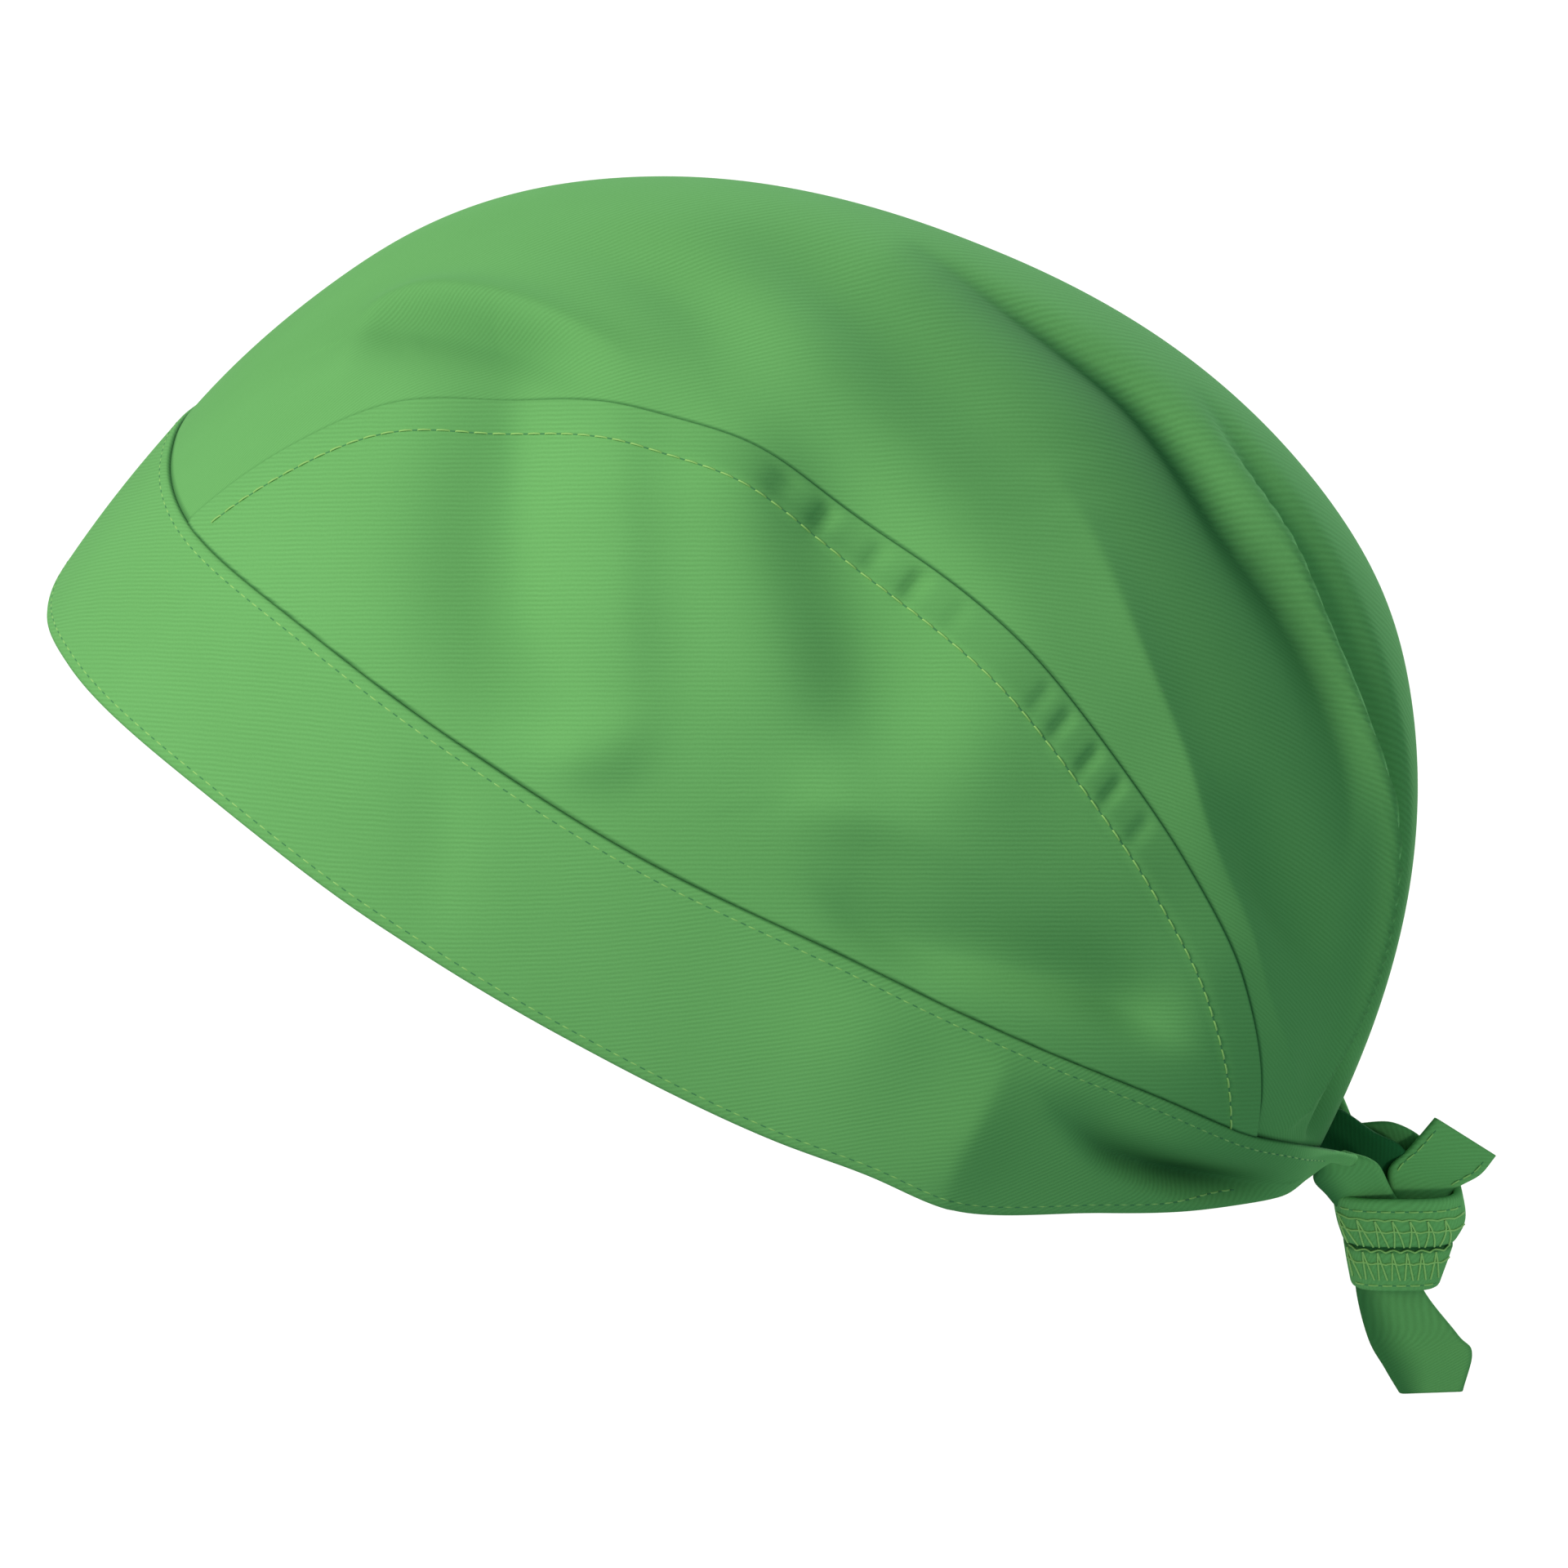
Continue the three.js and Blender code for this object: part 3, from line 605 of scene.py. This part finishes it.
# Sewing thread, spun polyester in a yellower green than the cloth: a fine soft gleam along each stitch.
THREAD_DARK, THREAD_LIGHT = "#78b05c", "#8cbc68"
THREAD_TWIST = 0.4
thread = bpy.data.materials.new("green_polyester_thread")
thread.use_nodes = True
thread_shader = thread.node_tree.nodes["Principled BSDF"]
thread_place = add(thread.node_tree, "ShaderNodeTexCoord", {}).outputs["Object"]
thread_twist = add(thread.node_tree, "ShaderNodeTexNoise", {
    "Vector": thread_place, "Scale": 1 / (THREAD_TWIST * MM)})
thread_colour = add(thread.node_tree, "ShaderNodeMix", {
    "Factor": thread_twist.outputs["Fac"], "A": linear(THREAD_DARK), "B": linear(THREAD_LIGHT)},
    data_type="RGBA")
thread.node_tree.links.new(thread_colour.outputs["Result"], thread_shader.inputs["Base Color"])
thread_shader.inputs["Roughness"].default_value = 0.55
thread_shader.inputs["Specular IOR Level"].default_value = 0.3

# Painted shade in the needle holes, where the thread is drawn down: dull, dark twill laid in the gaps
# between stitches, too small to show any ribs.
hole_shade_material = bpy.data.materials.new("shaded_cotton_twill")
hole_shade_material.use_nodes = True
hole_shade_bsdf = hole_shade_material.node_tree.nodes["Principled BSDF"]
hole_shade_bsdf.inputs["Base Color"].default_value = linear("#3a7a48")
hole_shade_bsdf.inputs["Roughness"].default_value = 0.95

STITCH_PITCH, STITCH_LENGTH = 2.8, 2.25
THREAD_RADIUS = 0.14
FIRST_STITCH = 0.3
HOLE_OVERLAP, HOLE_SINK = 0.1, 0.08
ROW_STEPS = 1200
STITCH_SHARES = np.array([0, 0.15, 0.5, 0.85, 1])
STITCH_LIFTS = np.array([-0.25, 0.06, 0.12, 0.06, -0.25])


def threads(name, lines, radius, material):
    """Fine round threads along lines of points in metres."""
    curve = bpy.data.curves.new(name, "CURVE")
    curve.dimensions = "3D"
    curve.bevel_depth = radius * MM
    curve.bevel_resolution = 1
    for line in lines:
        spline = curve.splines.new("POLY")
        spline.points.add(len(line) - 1)
        for place, point in zip(spline.points, line):
            place.co = (*point, 1)
    curve.materials.append(material)
    piece = bpy.data.objects.new(name, curve)
    bpy.context.scene.collection.objects.link(piece)
    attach(piece, "root")


def stitches(name, run, pitch=STITCH_PITCH, sink=0):
    """A row of lockstitches: run gives points at shares of the row, lifted off the cloth by some mm;
    sink is how far the thread is drawn into the cloth."""
    dense = np.linspace(0, 1, ROW_STEPS)
    steps = np.linalg.norm(np.diff(run(dense, np.zeros_like(dense)), axis=0), axis=1) / MM
    arc = np.concatenate([[0], np.cumsum(steps)])
    starts = np.arange(FIRST_STITCH * pitch, arc[-1] - pitch, pitch)
    dash = pitch * STITCH_LENGTH / STITCH_PITCH
    at = np.interp(starts[:, None] + STITCH_SHARES * dash, arc, dense)
    lines = run(at.ravel(), np.tile(STITCH_LIFTS - sink, len(starts))).reshape(len(starts), -1, 3)
    threads(name, lines, THREAD_RADIUS, thread)
    # painted shade in the needle holes: short dark threads laid in the gaps between stitches
    gaps = np.interp(starts[:, None] + [dash - HOLE_OVERLAP, pitch + HOLE_OVERLAP], arc, dense)
    shaded_gaps = run(gaps.ravel(), np.full(gaps.size, -HOLE_SINK)).reshape(len(starts), -1, 3)
    threads(name + "_hole_shade", shaded_gaps, THREAD_RADIUS, hole_shade_material)


def side_topstitch(side):
    def run(share, lift):
        along = mix(*SIDE_STITCHED, share)
        return side_surface(along, 1 - TOPSTITCH_INSET / side_edges(along, side)[2], side, lift)
    return run


side_twill = twill("green_cotton_twill_side", SIDE_RIB_ANGLE)
for name, side in (("side_left", 1), ("side_right", -1)):
    panel = grid_piece(name, SIDE_COLUMNS, SIDE_ROWS, side_place(side))
    thicken(panel, PANEL_WALL)
    sewn(panel, side_twill, name.replace("side", "side_panel"))
    stitches(name + "_topstitch", side_topstitch(side))

# Headband: a strip of the same twill, folded double along the rim and sewn over the panels' lower edges.
# Towards the nape the ties pull its ends together, so it folds lengthwise into two lips.
BAND_FOLD = 0.7
BAND_LENGTH = 590
BAND_COLUMNS, BAND_ROWS = 480, 100
BAND_RIB_ANGLE = 30
BAND_STITCH_INSET, BAND_STITCH_SINK = 1.8, 0.2
FLARE_POWER = 1.5

# the bearings where the two rows of stitches end, and between which the panels' folds fade out of the band;
# the shares of the band's height between which its own folds fade out towards the seam
SEAM_STITCHED, RIM_STITCHED = 166, 150
PANEL_FOLDS_FADE, BAND_FOLDS_FADE = (136, 152), (0.8, 1)

# Each fold of the band as for the panels, with places on its line as (bearing, height, lift in mm)
BAND_FOLDS = {
    "brow_crimp": (5, 6, 2, [
        (52, 33, 0), (54, 27, -0.6), (56.5, 20, -0.7), (58.5, 12, -0.4), (59.5, 7, 0)]),
    "ear_swell": (10, 12, 2, [(100, 27, 0), (103, 21, 1.5), (105, 13, 1), (106, 6, 0)]),
    "turned_edge": (10, 14, 1.3, [(117, 30, 0), (118, 23, 1.5), (117.5, 14, 3), (117, 5, 3), (119, 0, 1)]),
    "lip_valley": (5, 1.6, 1.6, [
        (124, 19, 0), (128, 16, -1.5), (132.5, 12.5, -3.5), (137.5, 10.6, -5), (141, 9.8, -6),
        (144, 9.4, -6.2), (147, 9.2, -5.6), (150, 9.2, -4.2), (153.5, 9.2, -2), (157, 9.2, 0)]),
    "upper_lip": (3.5, 4, 2, [
        (130, 20, 0), (136, 17.5, 0.8), (141, 16, 1.4), (146, 14.8, 1.8), (151, 13.2, 1.8),
        (157, 11.5, 1.2), (164, 9, 0.5), (170, 7, 0)]),
}
BAND_FOLD_LINES = {
    name: (*sizes, *fold_line(places, height_direction)) for name, (*sizes, places) in BAND_FOLDS.items()
}

# the painted shade between the lips: its spread to the left and right in mm, its roundness and its depth
LIP_SHADE = (4.5, 1.2, 1.4, 0.8)


def on_left(points):
    return np.where((points[:, 0] < 0)[:, None], points * [-1, 1, 1], points)


def band_lift(points):
    return sum(lift_of_fold(on_left(points), *rest) for rest in BAND_FOLD_LINES.values())


def lip_shade(points):
    """How deep the painted shade between the two lips is at points of the form."""
    left, right, roundness, depth = LIP_SHADE
    *_, line, lift = BAND_FOLD_LINES["lip_valley"]
    return depth * lift_of_fold(on_left(points), left, right, roundness, line, lift / lift.min())


def folded_section(around, width, fold):
    """A flat folded strip's section: a share of the way round it gives the place across the strip,
    the depth behind its face and the run along the section."""
    straight = width - 2 * fold
    arc = math.pi * fold
    run = around * 2 * (straight + arc)
    back = run - straight - arc
    over, under = (run - straight) / fold, (back - straight) / fold
    stretch = [run < straight, run < straight + arc, back < straight]
    across = np.select(
        stretch, [run, straight + fold * np.sin(over), straight - back], -fold * np.sin(under))
    depth = np.select(stretch, [0, 1 - np.cos(over), 2], 1 + np.cos(under))
    return across + fold, depth * fold, run


def band_surface(bearing, rise, depth):
    """Points of the headband at a height above its rim, some millimetres behind its face."""
    rim, seam = band_size(bearing, RIM), band_size(bearing, SEAM)
    share = rise / (seam - rim)
    direction = height_direction(bearing, mix(rim, seam, share))
    flare = np.clip(1 - share, 0, 1) ** FLARE_POWER
    out = mix(band_size(bearing, SEAM_OUT), band_size(bearing, RIM_OUT), flare)
    form = dome(direction)
    panel_folds = fold_lift(form) * (1 - ease(*PANEL_FOLDS_FADE, np.abs(bearing)))
    band_folds = band_lift(form) * (1 - ease(*BAND_FOLDS_FADE, share))
    stand = panel_folds + band_folds + out - depth
    return as_worn(form + dome_normal(direction) * stand[:, None])


def band_height(bearing):
    return band_size(bearing, SEAM) - band_size(bearing, RIM)


def band_place(along, around):
    bearing = mix(-BAND_END, BAND_END, along)
    rise, depth, run = folded_section(around, band_height(bearing), BAND_FOLD)
    form = dome(height_direction(bearing, band_size(bearing, RIM) + rise))
    # painted shade under the fold of the band's upper edge, and between the lips
    above_rim = rise > BAND_FOLD * 4
    shade = np.maximum(SEAM_SHADE * ease(*LONG_SEAM_FADE, depth) * above_rim, lip_shade(form))
    return band_surface(bearing, rise, depth), np.stack([along * BAND_LENGTH, run], -1) * MM, shade


def band_topstitch(share, lift):
    bearing = mix(-SEAM_STITCHED, SEAM_STITCHED, share)
    return band_surface(bearing, band_height(bearing) - BAND_STITCH_INSET, -lift)


def rim_topstitch(share, lift):
    bearing = mix(-RIM_STITCHED, RIM_STITCHED, share)
    return band_surface(bearing, np.full_like(bearing, BAND_STITCH_INSET), -lift)


band = grid_piece("band", BAND_COLUMNS, BAND_ROWS, band_place, merge=True)
sewn(band, twill("green_cotton_twill_band", BAND_RIB_ANGLE), "headband")
stitches("band_topstitch", band_topstitch, sink=BAND_STITCH_SINK)
stitches("rim_topstitch", rim_topstitch, sink=BAND_STITCH_SINK)

# Left tie: a narrow folded strip of the same twill, sewn to the left end of the headband.
# It turns down behind the lip of the band, passes through the knot and hangs as the lower tail.
KNOT_CENTRE = np.array([0, 104.5, -46.2])
TIE_FOLD = 0.7
TIE_STITCH_INSET, TIE_STITCH_PITCH = 1.3, 2.2
LEFT_TIE_COLUMNS, LEFT_TIE_ROWS = 90, 48
# how deep the painted shade is at the left tie's first and second edge
LEFT_TIE_SHADES = (0.8, 0.14)
LOWER_TAIL_STITCHED = (0.62, 0.98)
TIE_RIB_ANGLE = 58
tie_twill = twill("green_cotton_twill_tie", TIE_RIB_ANGLE)

# each row is one edge and the other edge of the strip in mm from the knot, from the headband to the free end
LEFT_TIE = [
    ((6.2, -7.6, 1.8), (6.2, -3.2, 4.2)),
    ((5.4, -8.2, -1), (5.4, 1.6, 1.8)),
    ((3.2, -5.6, -5), (2.4, 4.6, -4.6)),
    ((0, -1, -13), (0.4, 9.2, -13)),
    ((0, -0.8, -21.5), (0, 9.6, -21.5)),
    ((2, 1.3, -30), (0, 15.6, -30.2)),
    ((3, 4, -34.8), (0.5, 18, -33.2)),
    ((3.5, 6.4, -38.8), (1.5, 16.6, -39.4)),
]


def tie_edges(rows, along):
    rows = np.array(rows, float)
    order = np.arange(len(rows))
    at = along * (len(rows) - 1)
    return [np.stack([through(order, rows[:, edge, axis], at) for axis in range(3)], -1) for edge in (0, 1)]


def tie_surface(rows, along, across, depth):
    """Points of a tie: across in millimetres from its first edge, depth behind its face."""
    first, second = tie_edges(rows, along)
    before, after = (sum(tie_edges(rows, np.clip(along + step, 0, 1))) for step in (-0.01, 0.01))
    width_way = unit(second - first)
    face = unit(np.cross(width_way, after - before))
    return (KNOT_CENTRE + first + width_way * across[:, None] + face * (TIE_FOLD - depth)[:, None]) * MM


def tie_place(rows, first_shade, second_shade):
    def place(along, around):
        first, second = tie_edges(rows, along)
        width = np.linalg.norm(second - first, axis=1)
        across, depth, run = folded_section(around, width, TIE_FOLD)
        length = np.linalg.norm(np.diff((first + second)[np.argsort(along)], axis=0), axis=1).sum() / 2
        cut = np.stack([along * length, run], -1) * MM
        shade = mix(first_shade, second_shade, ease(0, 0.5, across / width))
        return tie_surface(rows, along, across, depth), cut, shade
    return place


def tie_topstitch(rows, stitched, from_first):
    def run(share, lift):
        along = mix(*stitched, share)
        first, second = tie_edges(rows, along)
        width = np.linalg.norm(second - first, axis=1)
        return tie_surface(rows, along, np.abs(width * (not from_first) - TIE_STITCH_INSET), -lift)
    return run


left_tie = grid_piece(
    "left_tie", LEFT_TIE_COLUMNS, LEFT_TIE_ROWS, tie_place(LEFT_TIE, *LEFT_TIE_SHADES), merge=True)
sewn(left_tie, tie_twill, "tie_left")
for edge, from_first in (("front", True), ("back", False)):
    run = tie_topstitch(LEFT_TIE, LOWER_TAIL_STITCHED, from_first)
    stitches("left_tie_topstitch_" + edge, run, TIE_STITCH_PITCH)

# Right tie: the like strip of twill, sewn to the right end of the headband. It comes round behind
# the left one, is wound over it once as the knot, and leaves as the short upper tail.
STRIP_COLUMNS, STRIP_ROWS = 50, 40
UPPER_TAIL_STITCHED = (0.3, 0.98)
RIGHT_STRAP = [
    ((-6.2, -8.5, -1), (-6.2, -5.5, 6.5)),
    ((-4.5, -7, -2.4), (-4, -3, 6.5)),
    ((-2.2, -2.4, -3.4), (-1.6, 1.6, 4)),
    ((-1.2, 2.4, -4), (-1.2, 5.8, 1.8)),
    ((-2.5, 6, -7.5), (-2.5, 9, -3.5)),
]
RIGHT_BIGHT = [
    ((-7, -8, 0), (-7, -7, 3)),
    ((-6, -2, 0.6), (-6, -1.5, 3.4)),
    ((-4.5, 4, 0.6), (-4.5, 5, 4.2)),
    ((-3.5, 8.5, -3.5), (-3.5, 10.5, 0.5)),
    ((-3.2, 8, -8.5), (-3.2, 11.5, -7.5)),
]
UPPER_TAIL = [
    ((1, 4.8, -6.9), (1.5, 12.8, -6.6)),
    ((0.5, 3.8, -1.6), (0, 14.6, -5)),
    ((-1.5, 7.2, 1.4), (-2.2, 18.4, -3.7)),
    ((-3.5, 11.2, 5.6), (-4.2, 21, -1.3)),
]

# each stretch of the strip with its length, its flat area and how deep the painted shade on it is
for name, rows, length, area, shade in (
    ("right_strap", RIGHT_STRAP, 0.018, 0.00012, 1),
    ("right_bight", RIGHT_BIGHT, 0.018, 0.00009, 0.5),
    ("upper_tail", UPPER_TAIL, 0.02, 0.0002, 0),
):
    strip = grid_piece(name, STRIP_COLUMNS, STRIP_ROWS, tie_place(rows, shade, shade), merge=True)
    sewn(strip, tie_twill, "tie_right")
for edge, from_first in (("upper", True), ("lower", False)):
    run = tie_topstitch(UPPER_TAIL, UPPER_TAIL_STITCHED, from_first)
    stitches("upper_tail_topstitch_" + edge, run, TIE_STITCH_PITCH)

# height, middle of the loop, half its length and half its depth, from the lower edge of the winding up
WRAP_RINGS = np.array([
    (-21, 5.4, 6.9, 4.2),
    (-16.5, 5.6, 8, 5),
    (-13.2, 5.8, 8.8, 5),
    (-10, 6, 10, 5.8),
    (-4.6, 5.2, 10.2, 5.6),
])
WRAP_SQUARENESS = 3.2
WRAP_WIDTH, WRAP_LENGTH = WRAP_RINGS[-1, 0] - WRAP_RINGS[0, 0], 52
WRAP_COLUMNS, WRAP_ROWS = 120, 100
SLIT_RISE, SLIT_DEPTH, SLIT_END = 7.7, 0.9, -0.5
SLIT_BREADTH, SLIT_SHADE_BREADTH = 0.35, 0.5


def wrap_surface(turn, rise, depth):
    """Points of the winding: turn is a share of the way round, rise the height above its lower edge."""
    height = WRAP_RINGS[0, 0] + rise
    middle, half_length, half_depth = (
        through(WRAP_RINGS[:, 0], WRAP_RINGS[:, column], height) for column in (1, 2, 3))
    sin, cos = np.sin(2 * np.pi * turn), np.cos(2 * np.pi * turn)
    slit = SLIT_DEPTH * np.exp(-((rise - SLIT_RISE) / SLIT_BREADTH) ** 2) * (cos > SLIT_END)
    inward = depth + np.where(depth < TIE_FOLD, slit, 0)
    x = (half_depth - inward) * np.sign(cos) * np.abs(cos) ** (2 / WRAP_SQUARENESS)
    y = middle + (half_length - inward) * np.sign(sin) * np.abs(sin) ** (2 / WRAP_SQUARENESS)
    return (KNOT_CENTRE + np.stack([x, y, height], -1)) * MM


def wrap_place(along, around):
    rise, depth, run = folded_section(around, np.full_like(around, WRAP_WIDTH), TIE_FOLD)
    # painted shade in the slit where the strip's edges meet
    shade = np.exp(-((rise - SLIT_RISE) / SLIT_SHADE_BREADTH) ** 2) * (depth < TIE_FOLD)
    return wrap_surface(along, rise, depth), np.stack([along * WRAP_LENGTH, run], -1) * MM, shade


wrap = grid_piece("knot_winding", WRAP_COLUMNS, WRAP_ROWS, wrap_place, merge=True)
sewn(wrap, tie_twill, "tie_right")

# Overlocking: the strip's raw edges meet in the middle of its inner face, which shows on the winding.
# Both are sewn over in the same thread, as a ladder of slanting rungs between scalloped rails.
RUNG_SPACING, RUNG_STEPS = 2.4, 5
RUNG_SLANTS = (0.3, 1.8)
RAIL_STEPS, LOWER_RAIL, SCALLOP = 70, 0.42, 0.25
OVERLOCK_RADIUS, OVERLOCK_LIFT = 0.16, 0.1

# half the near face's width in mm, and the shares of it that the rungs, the rails and the stitches reach
HALF_FACE = 9
RUNGS_REACH, RAIL_REACH, STITCH_REACH = (-0.95, 0.8), 0.96, 0.95

# how high above the winding's lower edge the two ladders begin and end, and the two rows of stitches lie
LADDERS = ((WRAP_WIDTH - 3.3, SLIT_RISE + 0.5), (SLIT_RISE - 0.5, 2.4))
WINDING_STITCHES = {"upper": WRAP_WIDTH - 1.8, "lower": 1.3}


def front_turn(sideways):
    """The turn at a place on the winding's near face, from -1 at its left edge to 1 at its right."""
    return np.arcsin(np.sign(sideways) * np.abs(sideways) ** (WRAP_SQUARENESS / 2)) / (2 * np.pi)


def winding_topstitch(rise):
    def run(share, lift):
        turn = front_turn(mix(-STITCH_REACH, STITCH_REACH, share))
        return wrap_surface(turn, np.full_like(share, rise), -lift)
    return run


overlock = []
for top, bottom in LADDERS:
    for place in np.arange(*RUNGS_REACH, RUNG_SPACING / HALF_FACE):
        steps = np.linspace(0, 1, RUNG_STEPS)
        for slant in RUNG_SLANTS:
            rung = front_turn(place + slant / HALF_FACE * steps)
            overlock.append(wrap_surface(rung, mix(top, bottom, steps), np.full_like(steps, -OVERLOCK_LIFT)))
    for level in (top, mix(top, bottom, LOWER_RAIL)):
        sideways = np.linspace(-RAIL_REACH, RAIL_REACH, RAIL_STEPS)
        rail = level + SCALLOP * np.abs(np.sin(np.pi * sideways * HALF_FACE / RUNG_SPACING))
        overlock.append(wrap_surface(front_turn(sideways), rail, np.full_like(sideways, -OVERLOCK_LIFT)))
threads("overlock", overlock, OVERLOCK_RADIUS, thread)
for edge, rise in WINDING_STITCHES.items():
    stitches("winding_topstitch_" + edge, winding_topstitch(rise), TIE_STITCH_PITCH)

# Floor and light: a plain pale floor well below the bandana, a broad soft key light from above the forehead
# on the near side, a light from behind that picks out the crests of the folds, a small spot on the knot,
# and even light from all round.
FLOOR_HALF_SIZE, FLOOR_LEVEL = 6, -0.3
SPOT_PLACE = Vector((0.24, 0.26, -0.06))
UPPER_TAIL_MIDDLE = Vector(KNOT_CENTRE + [0, 12, 1]) * MM

floor_mesh = bmesh.new()
bmesh.ops.create_grid(
    floor_mesh, x_segments=1, y_segments=1, size=FLOOR_HALF_SIZE,
    matrix=Matrix.Translation((0, 0, FLOOR_LEVEL)))
floor = bpy.data.objects.new("floor", bpy.data.meshes.new("floor"))
floor_mesh.to_mesh(floor.data)
floor_mesh.free()
bpy.context.scene.collection.objects.link(floor)
floor_paint = bpy.data.materials.new("matt_white_paint")
floor_paint.use_nodes = True
floor_shader = floor_paint.node_tree.nodes["Principled BSDF"]
floor_shader.inputs["Base Color"].default_value = linear("#f8f8f6")
floor_shader.inputs["Roughness"].default_value = 0.9
floor.data.materials.append(floor_paint)
floor.visible_diffuse = False

# each broad light's strength, its breadth in degrees, its colour and the direction that it comes from
for name, strength, breadth, colour, comes_from in (
    ("key", 3.78, 35, "#ffece6", (0.476, -0.655, 0.588)),
    ("rim", 1.75, 20, "#f4fff6", (-0.86, 0.42, 0.28)),
):
    light = bpy.data.objects.new(name, bpy.data.lights.new(name, "SUN"))
    light.data.energy = strength
    light.data.angle = math.radians(breadth)
    light.data.color = linear(colour)[:3]
    light.rotation_euler = Vector(comes_from).to_track_quat("Z", "Y").to_euler()
    bpy.context.scene.collection.objects.link(light)

spot = bpy.data.objects.new("spot", bpy.data.lights.new("spot", "SPOT"))
spot.data.energy = 1.2
spot.data.spot_size = math.radians(18)
spot.data.spot_blend = 1
spot.data.shadow_soft_size = 0.03
spot.location = SPOT_PLACE
spot.rotation_euler = (SPOT_PLACE - UPPER_TAIL_MIDDLE).to_track_quat("Z", "Y").to_euler()
bpy.context.scene.collection.objects.link(spot)

world = bpy.data.worlds.new("studio")
world.use_nodes = True
world.node_tree.nodes["Background"].inputs["Color"].default_value = linear("#d6f6fc")
world.node_tree.nodes["Background"].inputs["Strength"].default_value = 0.46
bpy.context.scene.world = world
bpy.context.scene.view_settings.view_transform = "Standard"
